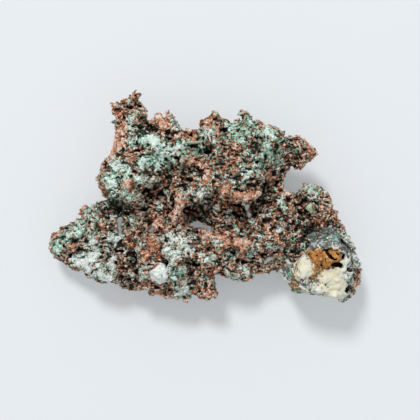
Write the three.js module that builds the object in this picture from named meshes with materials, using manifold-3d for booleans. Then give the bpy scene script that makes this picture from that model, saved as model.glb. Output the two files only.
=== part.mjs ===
// Native copper nugget, 94 mm long, lying on its back.
//
// The copper grew as one piece: a hackly, branching mass with horns along its upper edge, an arm to
// each side and slots that run right through it. Its right end grips a lump of milky quartz. A rusty
// limonite nodule sits in a pocket of the quartz, and two smaller mineral grains sit in pockets of
// the copper. Each mineral is a solid of its own, held with a small gap all round.
//
// Millimetres. +Z is up, +X runs along the length, and the origin is the centre of the nugget's box
// on the surface that it rests on.

import * as THREE from "three";
import { MarchingCubes } from "three/addons/objects/MarchingCubes.js";
import { ImprovedNoise } from "three/addons/math/ImprovedNoise.js";
import { mergeVertices } from "three/addons/utils/BufferGeometryUtils.js";
import Module from "manifold-3d";

// ---------------------------------------------------------------- driving dimensions

const CELL = 2.2; // grid of the copper's surface
const GRID = 49; // cells along each side of the grid
const GRID_CENTRE = new THREE.Vector3(0, 0, 14);
const WEB = 1.5; // how far neighbouring limbs melt into each other
const LUMP_LENGTH = 4.2; // spacing of the lumps on the copper
const LUMP_HEIGHT = 0.75;
const SLIVER = 0.12; // share of a cell that no crossing comes closer to a grid point than
const SEAT_GAP = 0.35; // clearance round each mineral in its pocket
const FLOOR_DEPTH = 20; // thickness of the block that trims the resting faces

// ---------------------------------------------------------------- the copper's limbs
// Each limb is one or more runs of balls, [x, y, z, radius], joined by tapered rods.

const LIMBS = {
  upper_left_horn: [
    [[-26.5, 27.2, 15, 1.6], [-25, 22.5, 15, 2.3], [-24.2, 17, 15, 3.2], [-24.8, 11, 14, 4.2]],
    [[-20.6, 27, 14.5, 1.7], [-20, 23, 15.5, 2.8], [-20.4, 17, 16, 4.2]],
    [[-23.4, 27, 14.6, 1.8], [-23, 22, 15, 2.8]],
    [[-27.4, 27.4, 15, 1.2], [-25, 26.6, 15, 1.6]],
    [[-22, 28.8, 14.5, 1.3], [-20.4, 30.7, 14.5, 1.5]],
    [[-17.7, 23.8, 13, 1.8], [-18, 19.5, 13, 2.6]],
    [[-25, 16, 9, 3], [-22, 12, 6, 4]],
  ],
  left_shoulder: [
    [[-26.2, 5, 14, 6], [-21, 3.5, 16, 5.6], [-17, 6, 15.5, 5.4]],
    [[-27.6, 2.4, 10, 3.4], [-26.4, 8, 12, 4.6]],
    [[-24, 5, 5, 5.6], [-18, 8, 6, 5]],
  ],
  upper_ridge: [
    [[-21, 12, 16.5, 4.8], [-15, 14, 17, 4.6], [-9, 13, 16.5, 4.4], [-3, 13.5, 15, 4.6]],
    [[-13, 9, 12, 5.4], [-5, 10, 12, 5.2]],
  ],
  ridge_knobs: [
    [[-13.6, 23.2, 15, 1.7], [-12.6, 20, 15, 2.5], [-12, 17, 15.5, 3.4]],
    [[-10.4, 23.8, 15, 1.4], [-10.2, 20, 15, 2.2], [-9, 17, 15, 3.4]],
    [[-7.8, 20.3, 13.5, 1.4], [-7.6, 17.5, 14, 2.6]],
    [[-15.6, 19.4, 9, 1.8], [-15, 16, 11, 2.6]],
    [[-5, 19.2, 13.5, 1.3], [-3, 17, 14, 2.6]],
  ],
  upper_middle_horn: [
    [[2.7, 24.2, 15, 1.8], [2.4, 21, 16, 2.6], [2.2, 17, 16, 4.4]],
    [[-0.4, 21.4, 15, 1.4], [0.2, 18.5, 15, 2.8]],
    [[5.2, 21.6, 15, 1.6], [6.2, 18.5, 15.5, 3]],
    [[9, 21.2, 15, 1.8], [9, 18, 15, 3]],
  ],
  upper_right_knob: [[[11.9, 24.2, 16, 1.6], [12.6, 22, 16, 2], [11.8, 18, 16, 4.2]]],
  upper_right_mass: [
    [[5, 13, 15, 5.6], [10.5, 14.5, 16, 5.8], [16, 15.9, 15.5, 5.4], [19.4, 15.9, 15, 4.7]],
    [[4, 8, 15.5, 4.8], [10, 7.4, 16, 5.4], [16, 8.4, 14.5, 5]],
    [[6, 12, 6, 5.4], [13, 12.5, 5, 5.6], [18.5, 12, 8, 4.6]],
    [[21.4, 8, 11, 3.2], [21.4, 5, 10, 2.6], [20.6, 1.5, 9, 2.6]],
    [[14, 3, 11, 4], [18.6, -1, 9, 3]],
  ],
  right_horn: [
    [[21.5, 14.2, 14, 4], [27, 13.6, 14, 3.6], [29.2, 12, 14, 3]],
    [[27.4, 15.6, 14.2, 2.1], [30.6, 15.6, 14.4, 1.6]],
    [[30.4, 13.2, 14, 1.9], [33.4, 12.2, 14, 1.2]],
    [[27.8, 10.2, 13, 2.5]],
  ],
  middle: [
    [[-14.5, 1, 10, 4.4], [-9, 3, 11, 4.6], [-3.5, 5, 12, 4.8], [2, 5, 13, 4.6]],
    [[-8.2, 0.5, 14.5, 2.7], [-8.4, -4.2, 13.5, 2.9], [-9.4, -8, 12, 2.6]],
    [[-2.6, 2.6, 16, 3], [-0.6, 0.4, 15.6, 3]],
    [[2, 3.4, 17, 3], [7, 1.6, 18, 2.9], [11.6, 0.6, 18, 2.6], [14.4, 0.4, 17.4, 2]],
    [[2, -2.4, 11, 2.6], [4.2, -5.4, 10, 2.6], [4.6, -9.6, 11, 2.8]],
    [[5.4, -1.2, 10, 2.8]],
    [[-5.6, -4, 5, 4], [0.6, -4.4, 5, 3.8], [4.6, -6, 7, 2.8]],
    [[-6.8, -9.6, 10, 2.8]],
    [[9.6, -2.6, 9, 2.4], [10, -6.4, 9.5, 2.4], [10.6, -10, 11, 2.8]],
    [[15.8, -2.4, 8.5, 2.2], [19, -4.4, 9.5, 3]],
  ],
  left_web: [
    [[-25.6, -1.8, 8.5, 3.2], [-21.6, -4.4, 9, 3.2], [-21, -9.4, 10, 3.2], [-21.6, -15, 11, 4]],
    [[-17.4, -2.6, 10.5, 3.8], [-19.4, -8, 10, 2.8]],
    [[-13, -3, 11, 2.6], [-13.4, -7.6, 12.4, 2.2], [-13.6, -12, 13, 3.6]],
  ],
  left_arm: [
    [[-43, -14.2, 8.5, 4.2], [-38, -13.2, 9, 4.4], [-32.4, -11.6, 9.6, 4.8], [-29, -12.6, 10, 3.4]],
    [[-34.6, -5.8, 9, 3], [-30.8, -6.4, 8.6, 3]],
    [[-28.8, -4.4, 8, 2.6]],
    [[-35.8, -4.8, 9, 1.7]],
    [[-42.2, -17.2, 8, 2.8], [-38, -18.4, 8.4, 3.8], [-33, -19.8, 10, 4.9], [-28.8, -21, 10.4, 5]],
    [[-37, -14, 4, 3.6], [-32, -19, 3.6, 4.6]],
  ],
  lower_middle: [
    [[-23.4, -20, 10, 3.8], [-21.8, -25.4, 9, 3.2]],
    [[-16, -14.6, 15, 4.6], [-15.4, -20.8, 15, 4.8], [-17, -24.6, 12, 3.6]],
    [[-9.4, -13.8, 14, 4.6], [-8, -19.4, 14.4, 5], [-8.4, -25, 12, 4.2]],
    [[-2.4, -16, 13, 4.4], [-1.2, -21, 12.4, 4.2]],
    [[0.2, -25.4, 11.5, 3.2], [0.8, -28.6, 11.5, 3]],
    [[-7, -28.6, 11, 2.5], [-5.8, -30.4, 11, 1.8]],
    [[-3.4, -26, 11, 2.4]],
    [[-13.2, -27.2, 11, 2.7], [-11, -28.8, 11, 2]],
    [[-15, -18, 5, 5.2], [-7, -20, 4.4, 5.4]],
  ],
  right_bridge: [
    [[1.6, -12.2, 14, 2.9], [7, -13.6, 14, 3.9], [14, -13, 13, 4.6], [20, -12, 12.6, 4.6], [26, -12, 12, 4]],
    [[4.6, -18.4, 12, 4.1], [8.8, -21.4, 12, 3.5], [11.2, -23, 11, 2.8]],
    [[13.4, -23.8, 11, 1.3]],
    [[14, -17, 11.5, 3.2], [16.2, -21.2, 10.6, 1.8], [20.4, -21.2, 10, 1.7], [23, -20, 10, 2.4]],
    [[22.4, -16.6, 11, 2.6], [25.6, -16.2, 11.4, 2.6]],
    [[18.4, -7.4, 13, 3.4], [14.6, -9, 13, 2.8]],
    [[9, -15, 5, 4.2], [15, -12, 6, 4]],
  ],
  right_arm: [
    [[24.4, -0.2, 12, 2.8], [23.8, -6, 11.6, 3.6]],
    [[27.6, -1.6, 9.5, 2.8], [28.6, -7.4, 10, 3.6], [28.4, -12, 11, 3.4]],
    [[31.8, 1.2, 12.4, 3.2], [34, -1.6, 13.4, 3.5], [35, -5.6, 13.4, 3.9], [37.2, -8.4, 12.4, 3]],
    [[38, -4.6, 11, 1.6], [38.6, -7.4, 11, 1.8]],
    [[32, -3, 6, 3.6], [29, -9, 5, 3.6]],
  ],
  quartz_rim: [
    [[36, -8.8, 11, 3.2], [39.6, -11.6, 11, 2.6], [42.4, -15.2, 11, 2.3], [44.2, -20, 10.4, 2.1]],
    [[44.2, -20, 10.4, 2.1], [45, -25, 9.6, 2], [44, -28.2, 9, 1.8]],
    [[30, -12.6, 6, 3.6], [34.4, -11.4, 5.4, 3.6]],
  ],
};

// ---------------------------------------------------------------- noise

const perlin = new ImprovedNoise();

// Smooth noise in about -1..1 whose bumps stand `spacing` mm apart.
function bumps(p, spacing, shift = 0) {
  return perlin.noise(p.x / spacing + shift, p.y / spacing - shift, p.z / spacing + 0.5 * shift);
}

// ---------------------------------------------------------------- the copper as a field

const rods = Object.values(LIMBS)
  .flat()
  .flatMap((run) => (run.length === 1 ? [[run[0], run[0]]] : run.slice(1).map((end, i) => [run[i], end])))
  .map(([a, b]) => ({
    start: new THREE.Vector3(...a),
    along: new THREE.Vector3(b[0] - a[0], b[1] - a[1], b[2] - a[2]),
    radius: a[3],
    growth: b[3] - a[3],
  }));

const offset = new THREE.Vector3();

// Distance from p to a tapered rod's surface, negative inside.
function distanceToRod(p, rod) {
  offset.subVectors(p, rod.start);
  const t = THREE.MathUtils.clamp(offset.dot(rod.along) / (rod.along.lengthSq() || 1), 0, 1);
  return offset.addScaledVector(rod.along, -t).length() - (rod.radius + rod.growth * t);
}

// The smaller of two distances, rounded off where they are closer than `width`.
function melt(a, b, width) {
  const h = Math.max(width - Math.abs(a - b), 0) / width;
  return Math.min(a, b) - (h * h * width) / 4;
}

// Distance from p to the copper's surface, negative inside.
function copperDistance(p) {
  const limbs = rods.reduce((nearest, rod) => melt(nearest, distanceToRod(p, rod), WEB), Infinity);
  return limbs - LUMP_HEIGHT * bumps(p, LUMP_LENGTH);
}

// ---------------------------------------------------------------- solids

const wasm = await Module();
wasm.setup();

function solidFrom(geometry) {
  const bare = geometry.clone();
  bare.deleteAttribute("normal");
  bare.deleteAttribute("uv");
  const merged = mergeVertices(bare, 1e-4);
  return new wasm.Manifold(
    new wasm.Mesh({
      numProp: 3,
      vertProperties: merged.attributes.position.array,
      triVerts: new Uint32Array(merged.index.array),
    }),
  );
}

function geometryFrom(solid) {
  const { vertProperties, triVerts } = solid.getMesh();
  return new THREE.BufferGeometry()
    .setAttribute("position", new THREE.BufferAttribute(vertProperties, 3))
    .setIndex(new THREE.BufferAttribute(triVerts, 1));
}

// The copper's field, meshed on a grid.
function copperSolid() {
  const grid = new MarchingCubes(GRID, new THREE.MeshBasicMaterial(), false, false, 40000);
  grid.isolation = 0;
  const p = new THREE.Vector3();
  const least = SLIVER * CELL;
  for (let k = 0; k < GRID; k++)
    for (let j = 0; j < GRID; j++)
      for (let i = 0; i < GRID; i++) {
        p.set(i, j, k).subScalar(GRID / 2).multiplyScalar(CELL).add(GRID_CENTRE);
        const depth = -copperDistance(p);
        grid.setCell(i, j, k, depth < 0 ? Math.min(depth, -least) : Math.max(depth, least));
      }
  grid.update();
  const corners = grid.positionArray.slice(0, 3 * grid.count);
  const surface = new THREE.BufferGeometry().setAttribute("position", new THREE.BufferAttribute(corners, 3));
  surface.scale((GRID / 2) * CELL, (GRID / 2) * CELL, (GRID / 2) * CELL);
  surface.translate(...GRID_CENTRE);
  return solidFrom(surface);
}

// A mineral lump: a ball stretched to `radii`, cut by flat faces and roughened, grown by `extra` all round.
function mineralSolid({ centre, radii, facets, roughness, spacing, detail, shift }, extra = 0) {
  const ball = new THREE.IcosahedronGeometry(1, detail);
  const points = ball.attributes.position;
  const size = new THREE.Vector3(...radii);
  const out = new THREE.Vector3();
  for (let i = 0; i < points.count; i++) {
    out.fromBufferAttribute(points, i);
    const cut = facets.reduce((reach, [x, y, z, share]) => {
      const facing = out.dot(new THREE.Vector3(x, y, z).normalize());
      return facing > 0 ? Math.min(reach, share / facing) : reach;
    }, 1);
    const reach = cut + roughness * bumps(out, spacing, shift);
    points.setXYZ(
      i,
      centre[0] + out.x * (size.x * reach + extra),
      centre[1] + out.y * (size.y * reach + extra),
      centre[2] + out.z * (size.z * reach + extra),
    );
  }
  return solidFrom(ball);
}

// ---------------------------------------------------------------- the minerals
// facets: [x, y, z, share of the radius at which a flat face facing that way cuts the ball]

const QUARTZ = {
  centre: [35.6, -20.1, 10.4],
  radii: [12.6, 12.6, 13],
  facets: [
    [0.1, -0.2, 1, 0.76], [-0.2, 0.7, 1, 0.84], [-0.3, -1, 0.1, 0.75], [-0.95, -0.1, 0.2, 0.9],
    [-0.7, 0.7, 0.3, 0.7], [1, -0.1, 0.1, 0.68], [0.8, 0.7, 0.3, 0.72], [0.1, 1, 0.1, 0.88], [0, 0, -1, 0.84],
    [-0.8, -0.4, -0.8, 0.78], [0.2, -0.9, -0.8, 0.8], [0.7, 0.3, -0.8, 0.76], [-0.1, 0.9, -0.7, 0.8],
  ],
  roughness: 0.06,
  spacing: 0.42,
  detail: 6,
  shift: 3,
};
const LIMONITE = {
  centre: [35.2, -18.2, 19.2],
  radii: [4.6, 2.8, 3.4],
  facets: [],
  roughness: 0.16,
  spacing: 0.5,
  detail: 3,
  shift: 11,
};
const CALCITE_GRAIN = {
  centre: [-13.4, -22.3, 17.6],
  radii: [2.6, 2.7, 2.6],
  facets: [[-0.2, 0.1, 1, 0.86], [0.9, 0.3, 0.4, 0.88], [-0.8, -0.5, 0.4, 0.88]],
  roughness: 0.06,
  spacing: 0.6,
  detail: 2,
  shift: 19,
};
const CHRYSOCOLLA_GRAIN = {
  centre: [31.3, -3.6, 15],
  radii: [1.4, 1.9, 1.6],
  facets: [[0.6, 0.2, 0.8, 0.84], [-0.6, -0.3, 0.7, 0.86]],
  roughness: 0.05,
  spacing: 0.6,
  detail: 2,
  shift: 27,
};

// ---------------------------------------------------------------- fitting them together

function floorBlock() {
  const block = new THREE.BoxGeometry(200, 200, FLOOR_DEPTH);
  block.translate(0, 0, -FLOOR_DEPTH / 2);
  return solidFrom(block);
}

function largestPiece(solid) {
  return solid.decompose().sort((a, b) => b.volume() - a.volume())[0];
}

const floor = floorBlock();
const pocketed = [QUARTZ, CALCITE_GRAIN, CHRYSOCOLLA_GRAIN];
const copper = largestPiece(
  pocketed.reduce((solid, mineral) => solid.subtract(mineralSolid(mineral, SEAT_GAP)), copperSolid()).subtract(floor),
);
const quartz = largestPiece(mineralSolid(QUARTZ).subtract(mineralSolid(LIMONITE, SEAT_GAP)).subtract(floor));

// ---------------------------------------------------------------- the object

function mineral(name, solid, colour, roughness, metalness = 0) {
  const mesh = new THREE.Mesh(
    geometryFrom(solid),
    new THREE.MeshStandardMaterial({ color: colour, roughness, metalness, flatShading: true }),
  );
  mesh.name = name;
  return mesh;
}

const nugget = new THREE.Group();
nugget.add(
  mineral("native_copper", copper, 0x9a6248, 0.5, 0.8),
  mineral("quartz_lump", quartz, 0xe6e0cc, 0.6),
  mineral("limonite_nodule", mineralSolid(LIMONITE), 0xb0732c, 0.9),
  mineral("calcite_grain", mineralSolid(CALCITE_GRAIN), 0xdfe8e2, 0.6),
  mineral("chrysocolla_grain", mineralSolid(CHRYSOCOLLA_GRAIN), 0xa8c8a4, 0.5),
);

// Move the nugget so that the centre of its box stands on the origin.
const box = new THREE.Box3().setFromObject(nugget);
const middle = box.getCenter(new THREE.Vector3());
nugget.position.set(-middle.x, -middle.y, -box.min.z);

export default nugget;
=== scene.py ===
"""Looks of a native copper nugget: spongy copper, green and chalky crusts, and the minerals that it holds.

Every mass is grown from its CAD solid as a field: the distance to the solid, roughened with lumps, ridges
and hollows, then meshed. Angular crystals and grains are then scattered over the copper, so that its edge
is as hackly as its faces. Tables are in millimetres, meshes in metres. Z is up, and the nugget lies on the
floor at height 0.
"""

import math

import bmesh
import bpy
import numpy as np
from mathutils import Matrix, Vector


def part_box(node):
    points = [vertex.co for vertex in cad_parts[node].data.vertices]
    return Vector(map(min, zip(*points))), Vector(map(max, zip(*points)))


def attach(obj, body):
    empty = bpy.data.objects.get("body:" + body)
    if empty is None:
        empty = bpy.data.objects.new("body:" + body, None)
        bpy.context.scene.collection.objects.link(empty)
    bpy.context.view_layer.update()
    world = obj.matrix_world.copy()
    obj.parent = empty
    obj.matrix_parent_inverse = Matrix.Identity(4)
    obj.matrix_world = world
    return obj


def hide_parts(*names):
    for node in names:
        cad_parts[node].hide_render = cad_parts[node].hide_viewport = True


MM = 0.001
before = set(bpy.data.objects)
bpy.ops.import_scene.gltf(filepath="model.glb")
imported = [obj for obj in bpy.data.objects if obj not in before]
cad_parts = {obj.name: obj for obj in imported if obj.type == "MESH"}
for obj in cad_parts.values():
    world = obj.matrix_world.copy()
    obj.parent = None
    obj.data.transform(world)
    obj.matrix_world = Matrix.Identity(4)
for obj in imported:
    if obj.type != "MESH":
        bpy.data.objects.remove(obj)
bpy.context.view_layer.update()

# ---------------------------------------- node expressions


class Value:
    """A number socket. Arithmetic on it adds Math nodes to its tree."""

    def __init__(self, tree, socket):
        self.tree = tree
        self.socket = socket

    def math(self, operation, *terms):
        return self.tree.node("ShaderNodeMath", {"operation": operation}, dict(enumerate(terms)))

    def __add__(self, other):
        return self.math("ADD", self, other)

    def __sub__(self, other):
        return self.math("SUBTRACT", self, other)

    def __rsub__(self, other):
        return self.math("SUBTRACT", other, self)

    def __mul__(self, other):
        return self.math("MULTIPLY", self, other)

    def __truediv__(self, other):
        return self.math("DIVIDE", self, other)

    def __neg__(self):
        return self * -1

    def __pow__(self, power):
        return self.math("POWER", self, power)

    def __abs__(self):
        return self.math("ABSOLUTE", self)

    __radd__ = __add__
    __rmul__ = __mul__

    def most(self, other):
        """The larger of two numbers."""
        return self.math("MAXIMUM", self, other)

    def melt(self, other, width):
        """The smaller of two distances, rounded off where they are closer than width."""
        return self.math("SMOOTH_MIN", self, other, width)

    def sign(self):
        return self.math("SIGN", self)

    def fold(self, width):
        """Runs up and down between 0 and width."""
        return self.math("PINGPONG", self, width)

    def ramp(self, start, end):
        """0 below start, 1 above end, smooth between. start may be the larger one."""
        low, high, bottom, top = (start, end, 0, 1) if start < end else (end, start, 1, 0)
        sockets = {"Value": self, "From Min": low, "From Max": high, "To Min": bottom, "To Max": top}
        return self.tree.node("ShaderNodeMapRange", {"interpolation_type": "SMOOTHSTEP"}, sockets)


class Tree:
    """A node tree to which node() adds nodes, wired as they are made."""

    def __init__(self, tree):
        self.tree = tree

    def node(self, kind, settings=None, sockets=None, out=0):
        """Adds a node, with settings for its properties and sockets for its inputs. Returns one output."""
        made = self.tree.nodes.new(kind)
        for name, value in (settings or {}).items():
            setattr(made, name, value)
        for name, value in (sockets or {}).items():
            self.feed(made.inputs[name], value)
        return Value(self, made.outputs[out]) if len(made.outputs) else made

    def feed(self, socket, value):
        """Links a value, or several, to an input, or sets the input to a number or colour."""
        if isinstance(value, list):
            for part in value:
                self.tree.links.new(part.socket, socket)
        elif isinstance(value, Value):
            self.tree.links.new(value.socket, socket)
        elif value is not None:
            socket.default_value = (*value, 1) if socket.type == "RGBA" else value

    def outputs(self, value, *names):
        """Other outputs of the node that value came from."""
        return [Value(self, value.socket.node.outputs[name]) for name in names]

    def vector(self, operation, *terms, out=0):
        return self.node("ShaderNodeVectorMath", {"operation": operation}, dict(enumerate(terms)), out)

    def parts(self, vector):
        """The x, y and z of a vector, or the red, green and blue of a colour."""
        x = self.node("ShaderNodeSeparateXYZ", {}, {"Vector": vector}, "X")
        return (x, *self.outputs(x, "Y", "Z"))

    def noise(self, place, size, detail=2.0, rough=0.5, out=0):
        """Noise of about 0..1 whose bumps are size apart."""
        sockets = {"Vector": place, "Scale": 1 / size, "Detail": detail, "Roughness": rough}
        return self.node("ShaderNodeTexNoise", {}, sockets, out)

    def waves(self, place, size, detail=1.0):
        """Noise of about -1..1."""
        return self.noise(place, size, detail) * 2.4 - 1.2

    def ridges(self, place, size, detail=1.0):
        """Sharp winding crests, 1 high, with broad valleys at 0."""
        return (1 - 1.7 * abs(self.waves(place, size, detail))).most(0.0)

    def cells(self, place, size, metric="EUCLIDEAN", out="Distance"):
        """Distance to the middle of the nearest of many cells. Its Color is random from cell to cell."""
        sockets = {"Vector": place, "Scale": 1 / size}
        return self.node("ShaderNodeTexVoronoi", {"distance": metric}, sockets, out)

    def shaken(self, place, size, reach):
        """A place moved about by noise, by up to about half of reach."""
        shake = self.vector("SUBTRACT", self.noise(place, size, 1, out="Color"), (0.5, 0.5, 0.5))
        return self.vector("MULTIPLY_ADD", shake, (reach, reach, reach), place)


def geometry_tree(name, numbers=(), objects=()):
    """An empty geometry tree with named inputs. Returns it with a dict of its inputs."""
    group = bpy.data.node_groups.new(name, "GeometryNodeTree")
    face = group.interface
    face.new_socket("Geometry", in_out="INPUT", socket_type="NodeSocketGeometry")
    for label in numbers:
        face.new_socket(label, in_out="INPUT", socket_type="NodeSocketFloat")
    for label in objects:
        face.new_socket(label, in_out="INPUT", socket_type="NodeSocketObject")
    face.new_socket("Material", in_out="INPUT", socket_type="NodeSocketMaterial")
    face.new_socket("Geometry", in_out="OUTPUT", socket_type="NodeSocketGeometry")
    tree = Tree(group)
    source = group.nodes.new("NodeGroupInput")
    return tree, {socket.name: Value(tree, socket) for socket in source.outputs if socket.name}


def close_tree(tree, given, geometry):
    """Ends a geometry tree in real geometry that wears the given material."""
    real = tree.node("GeometryNodeRealizeInstances", {}, {"Geometry": geometry})
    done = tree.node("GeometryNodeSetMaterial", {}, {"Geometry": real, "Material": given["Material"]})
    tree.node("NodeGroupOutput", {}, {"Geometry": done})
    return tree.tree


def evaluate(piece, group, values):
    """Runs a geometry tree on a piece, and leaves the result as its plain mesh."""
    modifier = piece.modifiers.new(group.name, "NODES")
    modifier.node_group = group
    for item in group.interface.items_tree:
        if item.in_out == "INPUT" and item.name in values:
            modifier[item.identifier] = values[item.name]
    made_plain(piece)


def made_plain(piece):
    """Replaces a piece's mesh by what its modifiers make of it, and drops the modifiers."""
    graph = bpy.context.evaluated_depsgraph_get()
    graph.update()
    result = bpy.data.meshes.new_from_object(piece.evaluated_get(graph))
    old = piece.data
    piece.modifiers.clear()
    piece.data = result
    bpy.data.meshes.remove(old)


def new_piece(name, mesh):
    """Puts a mesh, a lamp or a camera into the scene."""
    piece = bpy.data.objects.new(name, mesh)
    bpy.context.scene.collection.objects.link(piece)
    return piece


# ---------------------------------------- starting shapes


def solid_copy(node, name):
    """A copy of a CAD node as one closed mesh."""
    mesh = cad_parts[node].data.copy()
    mesh.materials.clear()
    solid = bmesh.new()
    solid.from_mesh(mesh)
    bmesh.ops.remove_doubles(solid, verts=solid.verts, dist=0.001 * MM)
    solid.to_mesh(mesh)
    solid.free()
    return new_piece(name, mesh)


def along(start, end, spacing):
    """Places from start to end, at most spacing apart in the first three numbers of each."""
    start, end = np.array(start, float), np.array(end, float)
    steps = max(1, math.ceil(np.linalg.norm(end[:3] - start[:3]) / spacing))
    return [start + (end - start) * step / steps for step in range(steps + 1)]


def balls(name, places):
    """A cloud of points that stands for balls, [x, y, z, radius] in millimetres."""
    places = np.array(places) * MM
    mesh = bpy.data.meshes.new(name)
    mesh.from_pydata(places[:, :3].tolist(), [], [])
    mesh.attributes.new("reach", "FLOAT", "POINT").data.foreach_set("value", places[:, 3])
    return new_piece(name, mesh)


def rods(name, runs):
    """Balls along tapered rods. A rod is a run of [x, y, z, radius]."""
    places = []
    for run in runs:
        for start, end in zip(run, run[1:] or run):
            places.extend(along(start, end, 0.35 * min(start[3], end[3])))
    return balls(name, places)


TOP = 26  # above the whole nugget


def shafts(name, slits):
    """Balls that fill upright shafts [x0, y0, x1, y1, radius, bottom], each a slot from end to end."""
    places = []
    for x0, y0, x1, y1, radius, bottom in slits:
        for x, y, _ in along((x0, y0, 0), (x1, y1, 0), 0.5 * radius):
            places.extend(along((x, y, bottom, radius), (x, y, TOP, 1.25 * radius), 0.5 * radius))
    return balls(name, places)


# ---------------------------------------- a mass grown from a field


def distance_to_solid(tree, solid, place):
    """Distance to a closed mesh, negative inside."""
    sockets = {0: solid, "Source Position": place}
    near = tree.node("GeometryNodeProximity", {"target_element": "FACES"}, sockets)
    (distance,) = tree.outputs(near, "Distance")
    sockets = {"Mesh": solid, "Value": tree.node("GeometryNodeInputNormal"), "Sample Position": place}
    facing = tree.node("GeometryNodeSampleNearestSurface", {"data_type": "FLOAT_VECTOR"}, sockets)
    side = tree.vector("DOT_PRODUCT", tree.vector("SUBTRACT", place, near), facing, out="Value")
    return distance * side.sign()


def distance_to_balls(tree, cloud, place):
    """Distance to the nearest ball of a cloud, negative inside."""
    points = tree.node("GeometryNodeObjectInfo", {}, {"Object": cloud}, "Geometry")
    index = tree.node("GeometryNodeSampleNearest", {}, {"Geometry": points, "Sample Position": place})
    here = tree.node("GeometryNodeInputPosition")
    sockets = {"Geometry": points, "Value": here, "Index": index}
    centre = tree.node("GeometryNodeSampleIndex", {"data_type": "FLOAT_VECTOR"}, sockets)
    reach = tree.node("GeometryNodeInputNamedAttribute", {}, {"Name": "reach"})
    radius = tree.node("GeometryNodeSampleIndex", {}, {"Geometry": points, "Value": reach, "Index": index})
    return tree.vector("DISTANCE", place, centre, out="Value") - radius


def meshed_field(tree, distance, low, high, grain, crumb):
    """The surface where a distance field is zero, without its loose pieces of under crumb points."""
    sockets = {"Density": -distance, "Background": -1.0, "Min": low, "Max": high}
    for axis, side in zip("XYZ", high - low):
        sockets["Resolution " + axis] = max(8, int(side / grain))
    volume = tree.node("GeometryNodeVolumeCube", {}, sockets)
    surface = tree.node("GeometryNodeVolumeToMesh", {}, {"Volume": volume, "Threshold": 0.0})
    island = tree.node("GeometryNodeInputMeshIsland", {}, {}, "Island Index")
    sockets = {"Value": 1.0, "Group ID": island}
    crowd = tree.node("GeometryNodeAccumulateField", {"domain": "POINT"}, sockets, "Total")
    loose = tree.node("FunctionNodeCompare", {"operation": "LESS_THAN"}, {"A": crowd, "B": float(crumb)})
    sockets = {"Geometry": surface, "Selection": loose}
    return tree.node("GeometryNodeDeleteGeometry", {"domain": "POINT"}, sockets)


def thinned(piece, most_triangles):
    """Collapses a piece's mesh to fewer triangles."""
    piece.data.calc_loop_triangles()
    share = most_triangles / max(1, len(piece.data.loop_triangles))
    if share < 1:
        modifier = piece.modifiers.new("thinned", "DECIMATE")
        modifier.ratio = share
        modifier.use_collapse_triangulate = True
        made_plain(piece)


def drop(*helpers):
    """Removes the shapes that only served to build a mass."""
    for helper in helpers:
        bpy.data.objects.remove(helper)


# ---------------------------------------- what a surface knows about itself

RAYS = 16
SPREAD = 0.97  # under 1, so that no ray runs back into its own surface
LIFT = (0.1 * MM,) * 3  # how far off the surface the rays start


def remember(tree, geometry, name, value):
    """Stores a number on each point under a name."""
    settings = {"data_type": "FLOAT", "domain": "POINT"}
    sockets = {"Geometry": geometry, "Name": name, "Value": value}
    return tree.node("GeometryNodeStoreNamedAttribute", settings, sockets)


def surface_tree():
    """Stores how open each point is to the air, 0 to 1, and how far it dips below what is round it."""
    tree, given = geometry_tree("openness and dips", ["Reach"])
    shape = given["Geometry"]
    here = tree.node("GeometryNodeInputPosition")
    normal = tree.node("GeometryNodeInputNormal")
    start = tree.vector("MULTIPLY_ADD", normal, LIFT, here)
    open_rays = 0.0
    for ray in range(RAYS):
        height = 1 - (2 * ray + 1) / RAYS
        turn = ray * math.pi * (3 - math.sqrt(5))
        ring = math.sqrt(1 - height * height)
        lean = (SPREAD * ring * math.cos(turn), SPREAD * ring * math.sin(turn), SPREAD * height)
        aim = tree.vector("ADD", normal, lean)
        sockets = {"Target Geometry": given["Geometry"], "Source Position": start}
        sockets |= {"Ray Direction": aim, "Ray Length": given["Reach"]}
        hit = tree.node("GeometryNodeRaycast", {}, sockets, "Is Hit")
        open_rays = (1 - hit) + open_rays

    def below(rounds):
        blurred = {"Value": here, "Iterations": rounds}
        average = tree.node("GeometryNodeBlurAttribute", {"data_type": "FLOAT_VECTOR"}, blurred)
        return tree.vector("DOT_PRODUCT", tree.vector("SUBTRACT", average, here), normal, out="Value") / MM

    for name, value in (("open", open_rays / RAYS), ("dip", below(4)), ("sink", below(40))):
        shape = remember(tree, shape, name, value)
    return close_tree(tree, given, shape)


def know_surface(piece, material, reach):
    """Has a mass store its openness, looking as far as reach."""
    evaluate(piece, surface_tree(), {"Reach": reach, "Material": material})


SOFT_REACH = 1.35  # how many radii out a spot fades away


def mark(piece, name, spots):
    """Stores 0..1 at each point from upright spots [x, y, radius, strength] with soft, ragged edges."""
    co = np.zeros(3 * len(piece.data.vertices), np.float32)
    piece.data.vertices.foreach_get("co", co)
    x, y, z = co.reshape(-1, 3).T / MM
    ragged_x = x + 0.5 * np.sin(2.3 * y + 1.7 * z) + 0.25 * np.sin(5.9 * y - 4.1 * x)
    ragged_y = y + 0.5 * np.sin(2.6 * x - 1.9 * z) + 0.25 * np.sin(6.7 * x + 4.7 * y)
    total = np.zeros(len(x), np.float32)
    for middle_x, middle_y, radius, strength in spots:
        far = np.hypot(ragged_x - middle_x, ragged_y - middle_y) / radius
        near = np.clip(SOFT_REACH - far, 0, 1)
        total = np.maximum(total, strength * near * near * (3 - 2 * near))
    piece.data.attributes.new(name, "FLOAT", "POINT").data.foreach_set("value", total)


# ---------------------------------------- the copper's shape

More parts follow.
